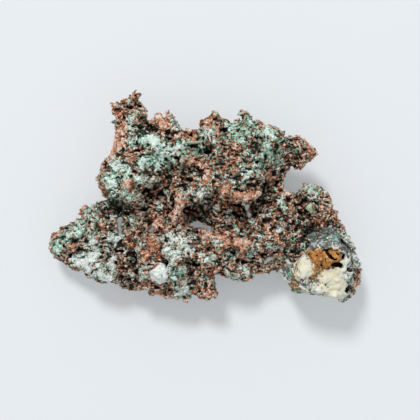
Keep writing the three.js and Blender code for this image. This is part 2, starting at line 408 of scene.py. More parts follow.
# Rods added to the copper: points, plates and knobs finer than its CAD solid holds.
POINTS = [
    [[-21.4, 28.2, 14.6, 0.9], [-21.3, 29.6, 14.5, 0.8], [-20.7, 30.2, 14.6, 0.75],
     [-19.7, 30.2, 14.6, 0.55]], [[-20.6, 27.4, 13, 1], [-19.4, 26.6, 13, 0.9]], [[-25.6, -16.2, 8, 1.3]],
    [[-26.6, 27.2, 15, 0.9], [-27.8, 27.5, 15, 0.6]],
    [[-19.4, 27.4, 14, 0.9], [-18.2, 25.4, 14, 0.8], [-16.9, 23.8, 13.6, 0.5], [-17, 22, 13, 0.5]],
    [[-15.4, 20.2, 12, 0.9]], [[-13.8, 23.7, 15.5, 1.5], [-13.0, 21.8, 16, 1.5], [-12.4, 19.8, 16, 1.3]],
    [[-11.2, 22.0, 15, 0.9], [-10.9, 24.8, 15, 0.6]], [[-10.2, 22.0, 14.6, 0.7], [-9.6, 22.8, 14.6, 0.4]],
    [[-9, 20, 14, 0.8], [-7.4, 20.3, 14, 0.6]],
    [[-5.6, 20, 14, 0.5], [-4.4, 19, 14.2, 0.7], [-3.2, 17.4, 15, 0.8]],
    [[-1.1, 20.6, 15, 0.6], [-0.8, 22, 15, 0.4]],
    [[2.4, 22.6, 15, 1.4], [2.5, 24.3, 15, 0.9], [3.6, 23.6, 15, 0.6]],
    [[0.9, 22.2, 16, 0.8], [0.8, 18.6, 16.6, 0.7]], [[6.8, 20.6, 15, 0.7], [7.1, 21.6, 15, 0.4]],
    [[9.4, 21, 15, 0.9], [9.5, 22.4, 15, 0.4]], [[11.2, 24.2, 16, 1.1], [12.6, 22.6, 16, 1.1]],
    [[15.2, 21.0, 15, 0.8], [15.8, 22, 15, 0.4]],
    [[17.4, 20.2, 15, 0.7], [19.2, 20.4, 15, 0.7], [21.4, 19.6, 15, 0.6]],
    [[23.6, 17, 14, 0.6], [24, 17.8, 14, 0.35]],
    [[25.8, 16.6, 14, 0.8], [27.4, 17.1, 14, 0.6], [28.4, 17, 14, 0.6]],
    [[29.8, 14.8, 14.6, 0.8], [31.4, 15.9, 14.6, 0.6]],
    [[31.0, 14.2, 14.4, 0.8], [32.6, 12.8, 14, 0.5], [33.6, 12.3, 14, 0.3]],
    [[28.6, 9.7, 13, 0.9], [27, 9.7, 13, 0.7]],
    [[37.4, -2.4, 11.5, 0.7], [38.2, -4.2, 11.5, 0.7], [39, -5.4, 11.5, 0.5]],
    [[-37.4, -4.6, 9.4, 0.7], [-36.6, -3.0, 9.6, 0.7]],
    [[-42.6, -10.4, 9, 0.9], [-40.2, -9.4, 9, 1.1], [-38.6, -7.8, 9.4, 0.9]],
    [[-33.6, -3, 9, 0.8], [-29.6, -2.4, 9, 1.1], [-27.2, -1.6, 9, 1.1]],
    [[-45.2, -12.4, 8, 1.3], [-45.7, -15, 8, 1.4], [-45, -17.2, 8, 1.2]],
    [[-24.8, -26.6, 8, 1], [-22.4, -27.4, 8, 1]], [[-15.8, -28.2, 8, 1], [-14.2, -28.8, 8, 0.8]],
    [[-27.8, -6.5, 9, 1], [-27.6, -10, 9, 1]], [[-24.3, -6.5, 9, 0.9], [-24.4, -10, 9, 0.9]],
    [[-3.8, -10.6, 10, 1.2], [-0.2, -10.4, 10, 1.2]], [[14.6, -2.6, 9, 1], [14.9, -6.4, 9, 1]],
    [[11.6, -3.4, 9, 0.8], [12.1, -6, 9, 0.8]],
    [[10.0, -24.2, 11, 0.8], [12.6, -23.8, 11, 0.8], [14.2, -24.4, 11, 0.5]],
    [[15.4, -21.6, 10.6, 0.8], [18.4, -22, 10, 0.7], [21.4, -21.6, 10, 0.7], [23.4, -20.4, 10, 0.8]],
    [[-2, -29, 11.5, 0.7], [0.4, -30, 11.5, 0.7], [2.6, -29.4, 11.5, 0.5]],
    [[1.8, -26, 11.5, 1], [2.4, -28.6, 11.5, 0.8]],
    [[4.8, 3.0, 18.6, 1.2], [8.4, 1, 19.6, 1.4], [12, 0.2, 19.6, 1.4], [15, 0.4, 18.6, 1.1]],
    [[-7.8, 1.2, 16.6, 1.3], [-7.6, -2.4, 15.6, 1.7], [-8.4, -6.4, 14, 1.2]],
    [[-5.4, 10.3, 18, 0.9], [-1.2, 10.2, 18, 0.9]], [[0.6, 8.4, 18, 0.9], [0.4, 5.4, 18, 1.2]],
    [[-9.6, 12.8, 19, 1.0], [-4.4, 15.6, 17.6, 0.7]],
    [[42, -13.4, 11.4, 1.2], [43.8, -16.8, 11.2, 1.3], [44.8, -20.4, 10.4, 1.2], [44.8, -23.2, 9.6, 1]],
    [[25.2, -18.9, 12.2, 1.1], [27.4, -17, 13, 1.3], [29.6, -14.6, 13.4, 1.3]],
    [[27.6, -17.8, 14.6, 0.7], [29.6, -16, 15.2, 0.7]],
    [[45.2, -25.4, 9.6, 0.9], [45, -27, 9.2, 1], [44.2, -29, 8.8, 0.8]],
]

# Places where daylight shows through the copper, then its deep hollows: [x0, y0, x1, y1, radius, bottom].
SLITS = [
    [-26, -6.4, -26, -9.4, 0.42, 0], [-29, -5.5, -27, -5.9, 0.3, 0], [-16.5, -10.2, -15.5, -9.3, 0.5, 0],
    [-3.4, -9.1, -0.4, -8.8, 0.28, 0], [-1.5, -9.6, -1.3, -10.4, 0.15, 0],
    [-0.2, -6.4, 1.6, -7.8, 0.2, 0], [5.6, -7, 7.2, -6.8, 0.3, 0], [7.3, -6.6, 7.8, -5.6, 0.22, 0],
    [12.7, -2.3, 12.1, -2.9, 0.12, 0], [12.1, -3, 13, -4.4, 0.14, 0], [13, -4.4, 13.6, -6.4, 0.2, 0],
    [19.4, -18.4, 18.7, -19.2, 0.35, 0], [18.4, -19.4, 18.1, -20.2, 0.25, 0],
    [27.4, 9.6, 27.7, 9.2, 0.25, 0], [22.4, -21.9, 24.2, -20.8, 0.35, 0],
    [-44.2, -21, -41, -22.8, 0.9, 0], [-41, -22.8, -36.4, -24.8, 0.9, 0],
    [-36.4, -24.8, -32, -26.8, 0.9, 0], [-32, -26.8, -28.4, -27.6, 0.8, 0],
    [-16.5, 23.4, -16, 26, 0.7, 0], [-18.2, 29.2, -17.2, 27.8, 1, 0], [-4.3, 21.5, -2.4, 20.9, 0.9, 0],
    [5.2, 24.4, 7.4, 24, 0.8, 0], [-30.6, 12.4, -33.4, 9.4, 1.2, 0], [-24.6, 30.6, -23.8, 32, 1.1, 0],
    [37.9, 2.4, 38.9, -0.8, 1, 0], [25.2, 6.4, 27.2, 6.6, 0.9, 0], [4.9, -25.5, 6.6, -25.7, 0.9, 0],
    [-13.4, -31.5, -12.9, -31.7, 1, 0], [-3.7, -31.5, -3.2, -31.8, 0.8, 0],
    [46.2, -14.4, 46.9, -16, 1.2, 0], [-29.2, 22.6, -29, 21.8, 0.9, 0],
]
HOLLOWS = [
    [-26, -3.6, -23.4, -4.2, 1.2, 8], [-5.4, -4.8, -4, -5.6, 1.3, 11], [-3.4, -6.2, -0.6, -6.4, 1.4, 8],
    [0.6, -7.2, 2.2, -8, 0.6, 9], [6.4, -15.6, 8.8, -17, 0.8, 12], [23, -12.4, 24, -13, 0.6, 12],
    [28.4, -4.6, 30.6, -5.4, 0.9, 9], [14.8, 13.8, 15, 16.6, 0.6, 14], [0.5, 12.8, 1.8, 14.2, 0.8, 14],
    [-5.8, 5.2, -4.4, 4.6, 0.6, 11], [-3.6, 7.2, -3.8, 8, 0.4, 12], [-13.4, 6.8, -11, 6.8, 0.7, 13],
    [-18.8, 1.4, -17, 1.8, 0.7, 11], [-13.4, 1.2, -12.6, 1.2, 0.5, 12],
    [-21.6, -17, -20.4, -18.8, 0.8, 9], [-26.4, -17.8, -26.2, -19.6, 0.5, 8],
    [-37.4, -15, -37, -16.8, 0.5, 9], [0.3, -0.8, 1.4, -0.6, 0.45, 14], [-9.6, 0, -9.3, -2.8, 0.4, 12],
    [-11.2, -3.8, -10.8, -6.4, 0.4, 11], [17.6, 3.2, 17.8, 0.4, 0.9, 9], [16.4, -1.2, 18.6, -1.4, 0.9, 9],
    [21, 4.2, 22.6, 5, 0.6, 11], [30.2, -11.6, 29.6, -13.6, 0.8, 9], [26.2, -15.6, 26.2, -17, 0.35, 11],
    [5.3, 18.8, 5.6, 19.8, 0.5, 15], [20.5, 15, 20.7, 16.4, 0.35, 14], [24.6, 14.6, 26.2, 13.2, 0.4, 14],
    [23.2, 8, 23.4, 5.8, 0.6, 10], [9, -5, 10.2, -3, 0.9, 9], [24, -6.8, 25.2, -7.4, 0.6, 10],
    [21.4, -7.4, 22.4, -7.8, 0.4, 12], [-1.9, -13.3, -1.1, -13.6, 0.45, 13],
    [4.3, -18.6, 4.4, -19.4, 0.4, 12], [-6, -19.4, -3.2, -19.8, 0.6, 15],
    [-11.4, 17.4, -10.4, 17.2, 0.5, 15], [-2.6, 15, -2, 14.2, 0.4, 16],
    [-24.4, -23.8, -23.4, -24.8, 0.5, 9], [29.6, -0.8, 29.8, -2, 0.5, 10],
    [-18.6, 20.2, -17, 19.4, 0.9, 12], [-18, 23.4, -17.8, 21.6, 0.4, 12], [-2.6, 2.8, -2, 2.4, 0.4, 14],
    [-3.9, 0, -3.7, -1.2, 0.4, 13], [-17.2, -5.8, -16.6, -7, 0.5, 10], [27, 12, 27.8, 11.2, 0.6, 12],
    [17, 8.4, 18.6, 8.6, 0.5, 14], [-22, -26.8, -21, -26.8, 0.5, 10], [2, -3.2, 2.6, -3.6, 0.5, 12],
    [5.2, -9, 7.6, -9.1, 0.5, 11], [-11.8, -28.4, -10.6, -28, 0.5, 11], [-0.8, -22.6, 1, -22.6, 0.4, 13],
    [28.4, -7, 28.2, -8.2, 0.5, 10], [31.6, -7.8, 32.4, -8.4, 0.5, 10], [-23, 26.2, -21, 26.1, 0.35, 14],
    [-26.4, 28, -25.8, 27.8, 0.35, 14], [-24.8, 5.6, -24.6, 5, 0.3, 16], [38, -8.2, 39, -9, 0.4, 10],
]


DRAWN_OUT = (0.55, 1.25, 1)  # makes the ridges run along the nugget
ELSEWHERE = (0.31, 0.17, 0.23)  # a place whose noise has nothing to do with the noise here


def copper_tree(low, high, grain):
    """The copper's solid with rods added, then roughened, tunnelled, hollowed and slit."""
    numbers = ["Swell", "Lump", "Dome", "Ridge", "Grit", "Tunnel", "Dip"]
    tree, given = geometry_tree("spongy copper", numbers, ["Points", "Slits", "Hollows", "Dips", "Calm"])
    here = tree.node("GeometryNodeInputPosition")
    bent = tree.shaken(here, 4 * MM, 1.4 * MM)
    wavy = tree.shaken(bent, 1.7 * MM, 1.4 * MM)
    flat = tree.vector("MULTIPLY", tree.shaken(here, 1.6 * MM, 1.4 * MM), (1, 1, 0))
    calm = distance_to_balls(tree, given["Calm"], flat).ramp(-0.3 * MM, 0.8 * MM) * 0.88 + 0.12
    dip = distance_to_balls(tree, given["Dips"], flat).ramp(0.8 * MM, -0.8 * MM)

    smooth = tree.node("GeometryNodeSubdivisionSurface", {}, {"Mesh": given["Geometry"], "Level": 1})
    body = distance_to_solid(tree, smooth, bent) - given["Swell"]
    body = body - given["Lump"] * tree.waves(here, 4.5 * MM, 2) + given["Dip"] * dip
    points = distance_to_balls(tree, given["Points"], tree.shaken(here, 1.7 * MM, 0.7 * MM))
    body = body.melt(points + 0.2 * MM, 0.6 * MM)
    relief = given["Dome"] * (0.5 - tree.cells(wavy, 2.5 * MM))
    swirl = tree.shaken(tree.shaken(here, 9 * MM, 7 * MM), 1.7 * MM, 1.0 * MM)
    swirl = tree.vector("MULTIPLY", swirl, DRAWN_OUT)
    relief = relief + given["Ridge"] * (tree.ridges(swirl, 2.4 * MM, 2) - 0.5)
    relief = relief + 0.3 * given["Ridge"] * (tree.ridges(wavy, 1.1 * MM) - 0.5)
    relief = relief + 0.25 * given["Ridge"] * (0.6 - tree.cells(wavy, 1.4 * MM, "MANHATTAN"))
    relief = relief + given["Grit"] * tree.waves(here, 0.7 * MM)

    thread_a = tree.waves(bent, 4.4 * MM, 2)
    thread_b = tree.waves(tree.vector("ADD", bent, ELSEWHERE), 4.4 * MM, 2)
    tunnel = (thread_a**2.0 + thread_b**2.0) ** 0.5 * (2.6 * MM) - given["Tunnel"] * calm
    hollow = distance_to_balls(tree, given["Hollows"], wavy).melt(tunnel, 0.5 * MM)
    body = -((-body).melt(hollow + 0.7 * MM * tree.waves(wavy, 1.6 * MM, 2), 0.5 * MM)) - calm * relief
    slit = distance_to_balls(tree, given["Slits"], tree.shaken(here, 1.4 * MM, 1.0 * MM))
    body = body.most(-slit)
    _, _, height = tree.parts(here)
    body = body.most(0.05 * MM - height)
    return close_tree(tree, given, meshed_field(tree, body, low, high, grain, crumb=4000))


COPPER_TRIANGLES = 197000
# How deep each kind of roughness goes.
SIZES = {"Swell": -0.5, "Lump": 0.7, "Dome": 1.2, "Ridge": 1.6, "Grit": 0.4, "Tunnel": 0.25, "Dip": 0.7}


def make_copper(material):
    """The spongy copper, with its crusts marked on it."""
    low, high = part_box("native_copper")
    margin = Vector((1, 1, 1)) * 1.6 * MM
    grain = 0.31 * MM
    copper = solid_copy("native_copper", "copper_mass")
    still = [spot for spot in BARE + GREEN if spot[3] > 0.95]
    helpers = {
        "Points": rods("points", POINTS),
        "Slits": shafts("slits", SLITS),
        "Hollows": shafts("hollows", HOLLOWS),
        "Dips": balls("dips", [[x, y, 0, radius * strength] for x, y, radius, strength in DARK]),
        "Calm": balls("calm", [[x, y, 0, radius] for x, y, radius, _ in still]),
    }
    values = {name: size * MM for name, size in SIZES.items()} | helpers | {"Material": material}
    evaluate(copper, copper_tree(low - margin, high + margin, grain), values)
    drop(*helpers.values())
    thinned(copper, COPPER_TRIANGLES)
    know_surface(copper, material, 7 * MM)
    spots = {"crust": CRUST, "bare": BARE, "dark": DARK, "green": GREEN, "teal": TEAL, "minty": MINTY}
    for name, places in spots.items():
        mark(copper, name, places)
    return copper


# ---------------------------------------- where the copper's colours lie

# Upright spots, [x, y, radius, strength].
CRUST = [
    [-26, 9.6, 2.4, 1], [-24.4, 8.4, 2, 1], [-22.6, 7, 2, 0.9], [-27.2, 5.4, 2.8, 1], [-27, 3, 2, 0.9],
    [-26.4, 1.2, 2, 0.8], [-23, 0.4, 2, 0.8], [-20.8, -0.4, 1.4, 0.7], [-27.8, 11, 1.4, 0.7],
    [-21.6, 22.4, 1.6, 0.9], [-22, 20.6, 1.4, 0.35], [-20, 19.6, 1.4, 0.6], [-21.8, 18.4, 1.2, 0.35],
    [-18, 16.6, 1.8, 0.9], [-16, 17.4, 1.8, 1], [-15, 16.2, 1.6, 1], [-13.6, 15.4, 1.6, 1],
    [-20.4, 16, 1.6, 0.7], [-22, 15, 1.6, 0.5], [-16, 14.6, 1.2, 0.8], [-13.6, 13.4, 1.6, 0.9],
    [-11.4, 14.6, 1.8, 0.9], [-12.8, 12.0, 2.2, 1], [-10, 12.6, 1.8, 0.9], [-8.6, 14, 1.8, 0.9],
    [-7, 14.6, 1.6, 0.8], [-9.6, 10.6, 1.6, 0.7], [-6, 15.4, 1.4, 0.9], [-4.8, 15.8, 1.2, 0.8],
    [-17.6, 10.6, 2.2, 1], [-18.8, 9, 1.6, 0.9], [-14.4, 9.6, 1.6, 0.9], [-13, 9, 1.2, 0.8],
    [-15.2, 11.4, 1.2, 0.8], [-19.8, 5, 1.6, 0.9], [-18.4, 5, 1.4, 0.9], [-16.8, 4.4, 1.4, 0.8],
    [-14.6, 4.6, 1.2, 0.6], [-14, 6.6, 1.2, 0.5], [-8.4, 20.8, 1.4, 0.7], [-9.6, 22.6, 1, 0.5],
    [-7.4, 20.4, 1, 0.8], [-4.6, 2.6, 1.6, 0.7], [-6.4, 2.6, 1.2, 0.6], [-1.2, 2.4, 1.2, 0.8],
    [-0.8, 0.6, 1.8, 0.9], [-2, 0.4, 1.4, 0.7], [1, 0.8, 1.6, 0.5], [0.6, 18.4, 1.8, 0.6],
    [-2.4, 13, 1.8, 0.7], [-6.4, 11.4, 1.6, 0.6], [2, 18.8, 1.6, 0.6], [8, 20.6, 1.6, 1],
    [9.6, 21.4, 1.2, 0.9], [7, 21.6, 1.2, 0.8], [11.6, 24.6, 1.2, 0.8], [12.8, 23, 1.4, 0.8],
    [13, 21.6, 1.4, 0.8], [11, 21, 1.4, 0.6], [14.6, 21.4, 1.4, 0.7], [12, 19, 2.4, 0.5], [9, 18, 2, 0.5],
    [15.4, 18.6, 1.4, 0.7], [18.6, 18.4, 1.8, 1], [18.4, 19.6, 1.4, 1], [20.6, 19.4, 1.4, 0.8],
    [20, 18, 1.2, 0.8], [16.8, 17.8, 1, 0.6], [18.4, 14.6, 1.8, 0.9], [17.2, 13.6, 1.2, 0.7],
    [19, 12.6, 1.8, 1], [20.4, 11, 1.4, 0.8], [16.2, 11.6, 1.2, 0.6], [12.6, 12.6, 1, 0.9],
    [14, 12, 1, 0.9], [11.6, 15.8, 1, 0.9], [22, 16.4, 1.4, 0.6], [22, 13.6, 1.4, 0.5],
    [23.6, 12.8, 1, 0.4], [5.6, 17.2, 1.2, 0.5], [3.4, 15.6, 1.4, 0.5], [10.6, 7.6, 1.4, 0.9],
    [12.2, 7, 1.6, 0.8], [12, 5.4, 1.2, 1], [13.6, 7.8, 1.4, 0.7], [15.4, 7.6, 1.6, 0.7],
    [7.6, 5.4, 1.2, 0.9], [5.8, 6, 1.2, 0.7], [3.2, 6.6, 1.2, 0.7], [8.4, 4.6, 1, 0.6],
    [17.2, 5, 0.9, 0.8], [15.2, 9.4, 1.6, 0.5], [11, 10, 1.6, 0.5], [22.8, -1, 1, 1],
    [22.6, -2.6, 1.2, 0.9], [23.8, -4, 1.2, 0.7], [21.8, 8.6, 1, 0.7], [28.4, 2.4, 1, 0.8],
    [30.4, 3, 1.6, 0.6], [32.6, 2.4, 1.6, 0.6], [33, 0.6, 1.4, 0.5], [30.6, 0.6, 1.2, 0.5],
    [-32.4, -3.4, 1.6, 0.7], [-34, -3.2, 1.2, 0.7], [-36, -5.2, 1.4, 0.8], [-34.6, -6, 1.4, 0.7],
    [-32.6, -6.6, 1.4, 0.5], [-36.4, -7.4, 1.2, 0.6], [-30, -2.4, 1.2, 0.8], [-38.6, -8.6, 1.4, 0.8],
    [-38.2, -10.6, 1.8, 0.9], [-36.4, -10, 1.6, 0.7], [-40.2, -11.6, 1.6, 0.8], [-42, -11.2, 1.4, 0.8],
    [-43.6, -12.2, 1.4, 0.7], [-41.8, -13, 1, 1], [-43.8, -13.8, 1.4, 1], [-45.2, -15.4, 1.4, 0.95],
    [-44, -16, 1.4, 0.9], [-42.4, -14.6, 1.2, 0.6], [-34.4, -11, 1.4, 0.6], [-32.8, -12.6, 1.6, 0.9],
    [-33.8, -13.8, 1.6, 0.9], [-32.6, -15, 1.4, 0.8], [-28, -8.4, 1, 0.7], [-28, -6.6, 1, 0.7],
    [-27.4, -12.4, 2.8, 1], [-26.6, -13.4, 1.6, 1], [-29.2, -13.4, 1.2, 0.9], [-29.4, -15.2, 1, 0.9],
    [-28.6, -16.8, 1.4, 0.9], [-27.8, -18, 1.4, 0.9], [-38.8, -18.4, 1.8, 0.95], [-38, -20, 1.8, 0.95],
    [-36.2, -17.2, 1.8, 1], [-36, -19.4, 2.6, 1], [-34, -18.6, 2.4, 1], [-33, -17, 2, 1],
    [-34.8, -21.6, 2, 1], [-32.4, -19.6, 2, 0.9], [-31.4, -22.6, 2, 1], [-30, -24.4, 2, 1],
    [-28.6, -24, 1.6, 1], [-29.4, -20.8, 1.8, 0.8], [-27.6, -20.4, 1.6, 0.9], [-28, -22, 1.6, 0.9],
    [-33, -23.6, 1.2, 0.7], [-39.8, -20.6, 1, 0.8], [-22.6, -6.6, 1, 0.9], [-22.8, -5.4, 0.8, 0.7],
    [-21.6, -8.6, 1.2, 0.5], [-24.2, -16.4, 1, 0.8], [-19.8, -15.6, 1, 0.8], [-19, -14, 1.2, 0.5],
    [-21.8, -23.6, 1, 0.9], [-18.8, -22.4, 1, 0.8], [-18.6, -24, 1, 0.8], [-14, -3, 1.4, 0.8],
    [-16.4, -20.2, 1.2, 0.7], [-15, -19.4, 1.2, 0.7], [-11, -11, 1.4, 0.9], [-11, -13.4, 1.2, 1],
    [-11, -15.4, 1.6, 1], [-11.4, -17, 1.2, 0.9], [-9.2, -13, 1.4, 0.9], [-7.4, -12, 1.6, 0.9],
    [-5.6, -12.6, 1.4, 0.8], [-4.4, -13.4, 1.2, 0.8], [-7, -14.4, 1.6, 0.9], [-5.2, -15.6, 1.8, 1],
    [-4, -16.2, 1.2, 1], [-7, -16.2, 1.4, 0.9], [-9.4, -16, 1.2, 0.9], [-9, -17.8, 1.4, 1],
    [-7.2, -18, 1.2, 0.8], [-3.2, -11.2, 1.2, 0.7], [-8, -10, 1.2, 0.6], [-5, -10.2, 1.2, 0.6],
    [-13, -12, 1.2, 0.7], [-10.4, -19.4, 1.4, 0.8], [-10.6, -21.6, 1.2, 0.9], [-9.2, -23.8, 1.6, 0.95],
    [-11, -24.6, 1.2, 0.8], [-8, -22.6, 1.8, 0.7], [-6.8, -21.6, 1.8, 0.7], [-6, -25.4, 1.2, 1],
    [-5, -26.2, 1.2, 0.8], [-6.4, -28, 1.8, 1], [-7.8, -28.8, 1.4, 0.9], [-5, -28.8, 1.2, 0.9],
    [-7, -30, 1.2, 0.8], [-0.2, -17.8, 1.6, 0.9], [-0.4, -19.4, 1.2, 0.8], [1.2, -18.2, 1.2, 0.8],
    [2.4, -18.8, 1, 0.9], [3.8, -13.2, 1.2, 1], [2.6, -12.8, 1, 0.8], [0.4, -24.8, 1.2, 0.8],
    [-0.8, -26.2, 1, 0.6], [7, -22.4, 1.2, 0.9], [8.4, -24.6, 1.2, 0.9], [10, -25.2, 1.2, 0.9],
    [11.6, -21.8, 1.6, 1], [12.6, -23, 1.2, 0.9], [10.8, -20.4, 1.2, 0.8], [9, -9.6, 0.9, 0.9],
    [13, -17, 1.2, 0.6], [15.4, -11.6, 1.6, 0.5], [17, -6.4, 1.2, 0.7], [18.6, -5, 1.2, 0.6],
    [19.6, -14.8, 1, 0.9], [21.6, -9.8, 1.2, 1], [20.6, -15.2, 1, 0.8], [3, -2.6, 1, 1],
    [7, -4.6, 0.9, 0.9], [23.4, -16.4, 1, 0.5], [15, -14.6, 1.6, 0.5], [38.6, -12.6, 2.4, 0.6],
    [43.4, -14.6, 2, 0.9], [41.6, -11.8, 2, 0.9], [44.8, -18, 2, 0.9], [45.2, -20.4, 1.6, 0.8],
    [39.6, -9.4, 1.4, 0.6], [24, -22.4, 1.6, 0.8],
]
# Bare, smooth copper; where it is strongest its colour is painted brighter, a painted sheen.
BARE = [
    [-27.2, 18.6, 1.2, 1], [-27.2, 16.6, 1.4, 1], [-27.4, 14.6, 1.4, 1], [-27.8, 12.6, 1.3, 1],
    [-28.6, 10.8, 1, 0.9], [-25.2, 17.4, 1.4, 0.85], [-25.4, 15.2, 1.4, 0.85], [-25.8, 13.6, 1.1, 0.8],
    [-25.4, 19.6, 1.4, 0.6], [-24.2, 20.8, 1.4, 0.6], [-23.8, 18.8, 1.6, 0.75], [-23.8, 16.6, 1.4, 0.75],
    [35, -6, 1.8, 0.5], [-24.6, 22.4, 1.6, 0.5], [-25.2, 24.8, 1.6, 0.5], [-20.6, 30.6, 1.2, 0.6],
    [-27.8, 27.4, 0.8, 0.7], [-20.6, 27, 1.2, 0.5], [-19, 25.8, 1, 0.6], [-13.8, 23.6, 2, 1],
    [-12.6, 21.4, 1.4, 0.9], [-11.8, 22.6, 1.2, 0.8], [-10.6, 24, 1.2, 0.7], [-10.6, 20.4, 1.4, 0.7],
    [-12.6, 19, 1.2, 0.8], [-8.6, 18, 1.6, 0.6], [-6.4, 17.4, 1.4, 0.5], [-21.4, 12.4, 1.4, 0.8],
    [-21.6, 10.6, 1.4, 0.9], [-20, 12.4, 1, 0.8], [-23, 11.6, 1, 0.6], [-17.6, 13, 1, 0.6],
    [-22.6, 4, 1.6, 0.9], [-23.6, 3.2, 1.2, 0.9], [-21.8, 2.6, 1.2, 0.8], [-4.6, 19.6, 1.4, 0.9],
    [-3.2, 17.4, 1.2, 0.8], [0.6, 22.6, 1.2, 0.8], [0.8, 21, 1, 0.8], [2.4, 24.4, 1.2, 0.5],
    [3.6, 19.4, 1.2, 0.7], [-5, 10.4, 1.4, 0.9], [-2.6, 10.4, 1.4, 0.9], [-0.8, 10, 1.4, 0.8],
    [0.8, 8, 1.2, 0.9], [0.2, 6.4, 1.6, 1], [1, 5, 1.4, 0.9], [-0.6, 4.6, 1.2, 0.8],
    [-8.6, 7.4, 1.4, 0.7], [-8.2, 5.6, 1.2, 0.8], [-9.6, 3, 1.2, 0.7], [-8, 0.4, 1.4, 1],
    [-7.6, -1.4, 1.8, 1], [-7.8, -3.4, 1.8, 1], [-8.8, -5, 1.4, 0.9], [-6.4, -2, 1.4, 0.9],
    [-7.6, -7.4, 1.4, 0.7], [-9, -8.4, 1.2, 0.6], [-13.6, -6, 1.6, 0.9], [-14.2, -8, 1.6, 0.9],
    [-13, -9, 1.2, 0.8], [-15, -5, 1.2, 0.7], [-14.6, -11, 1, 0.7], [0.6, -10.6, 1.6, 1],
    [1.6, -11.4, 1.4, 1], [-0.4, -11.6, 1, 0.9], [4.4, -11.6, 1.4, 1], [6, -12, 1.4, 0.9],
    [7, -10.8, 1.2, 0.9], [8.4, -13.4, 1.4, 0.9], [10.4, -13.6, 1.8, 1], [12, -13.6, 1.4, 1],
    [11.4, -15.4, 1.2, 0.8], [10.4, -17.6, 1.2, 0.6], [6.6, -14.2, 1, 0.8], [4.8, -17.6, 1, 0.6],
    [-15, -14.4, 1.4, 0.9], [-16.4, -16, 1.4, 1], [-17.2, -17.4, 1.4, 1], [-18, -19, 1.2, 0.7],
    [6, 2.2, 1.2, 1], [5, 2.8, 1.2, 0.9], [8.4, 0.8, 1.2, 0.9], [10, 0.2, 1.4, 1], [11.6, 1, 1.2, 0.9],
    [13.4, 0.2, 1.4, 1], [14.8, -0.6, 1.2, 1], [15.2, 1.2, 1, 0.9], [12, -1, 1, 0.9], [8.6, -0.8, 1, 0.8],
    [3, 4, 1.2, 0.7], [7, -2.4, 1, 0.7], [4.6, -4.4, 1, 0.9], [4, -1.4, 1.2, 0.6], [18.8, 6.4, 1.2, 1],
    [20.8, 5.8, 1.2, 0.9], [8.6, 14.8, 1.2, 0.7], [8.6, 12, 1, 0.6], [6.4, 12.6, 1, 0.6],
    [8.4, 8.8, 0.8, 0.8], [2.6, 13.2, 1.2, 0.5], [31, 15.8, 1.2, 1], [30, 14, 1, 0.7], [29, 12, 1, 0.6],
    [31.6, 14, 1, 0.7], [33, 12.6, 0.8, 0.8], [24.4, 11.6, 1.2, 0.6], [29.2, 9.6, 1.2, 0.6],
    [24, 1.6, 1.4, 0.9], [23.8, 0, 1, 0.7], [26.6, -0.6, 1.2, 0.7], [27.2, -3, 1, 0.7],
    [27.2, -5.4, 1, 0.8], [25.2, -3.8, 1.2, 0.6], [34.6, -2.4, 1.4, 0.6], [36, -4.4, 1.4, 0.6],
    [34.4, -7.4, 2, 0.4], [36.6, -7, 1.4, 0.4], [33.4, -5.4, 1.2, 0.3], [37.8, -3, 1, 0.7],
    [39, -5.6, 0.9, 0.8], [23.6, -14.4, 1, 0.7], [22.6, -17, 1.2, 0.5], [26.4, -11, 1.2, 0.5],
    [18, -9.4, 1.4, 0.8], [19.6, -9.8, 1, 0.7], [16.6, -8.8, 1, 0.6], [19, -22, 1.4, 0.5],
    [13.4, -24.8, 1, 0.9], [2.6, -21.4, 1.6, 0.6], [4.2, -21.6, 1.2, 0.5], [-1.6, -24.4, 1.2, 0.7],
    [-2, -26.6, 1.2, 0.6], [0, -29.4, 1.8, 0.45], [2.2, -28.6, 1.4, 0.6], [-1, -30, 1.2, 0.7],
    [-37, -3, 1.2, 0.9], [-38, -4.4, 0.8, 0.8], [-31.4, -8.2, 1.2, 0.8], [-30, -8.4, 1, 0.8],
    [-31, -6.4, 1, 0.6], [-40.4, -14.8, 1.6, 0.35], [-41.4, -16.2, 1.6, 0.3], [-39, -14.4, 1.2, 0.4],
    [-42, -18.4, 1.2, 0.2], [-44.6, -10.6, 1, 0.5], [-16.4, -27, 2, 0.5], [-14.4, -28.6, 1.4, 0.7],
    [-19.6, -4.6, 1, 0.9], [-18.4, -5.8, 1, 0.7], [-16, -2.4, 1, 0.7], [45.2, -26, 1, 0.8],
    [44.2, -29, 1, 0.7],
]
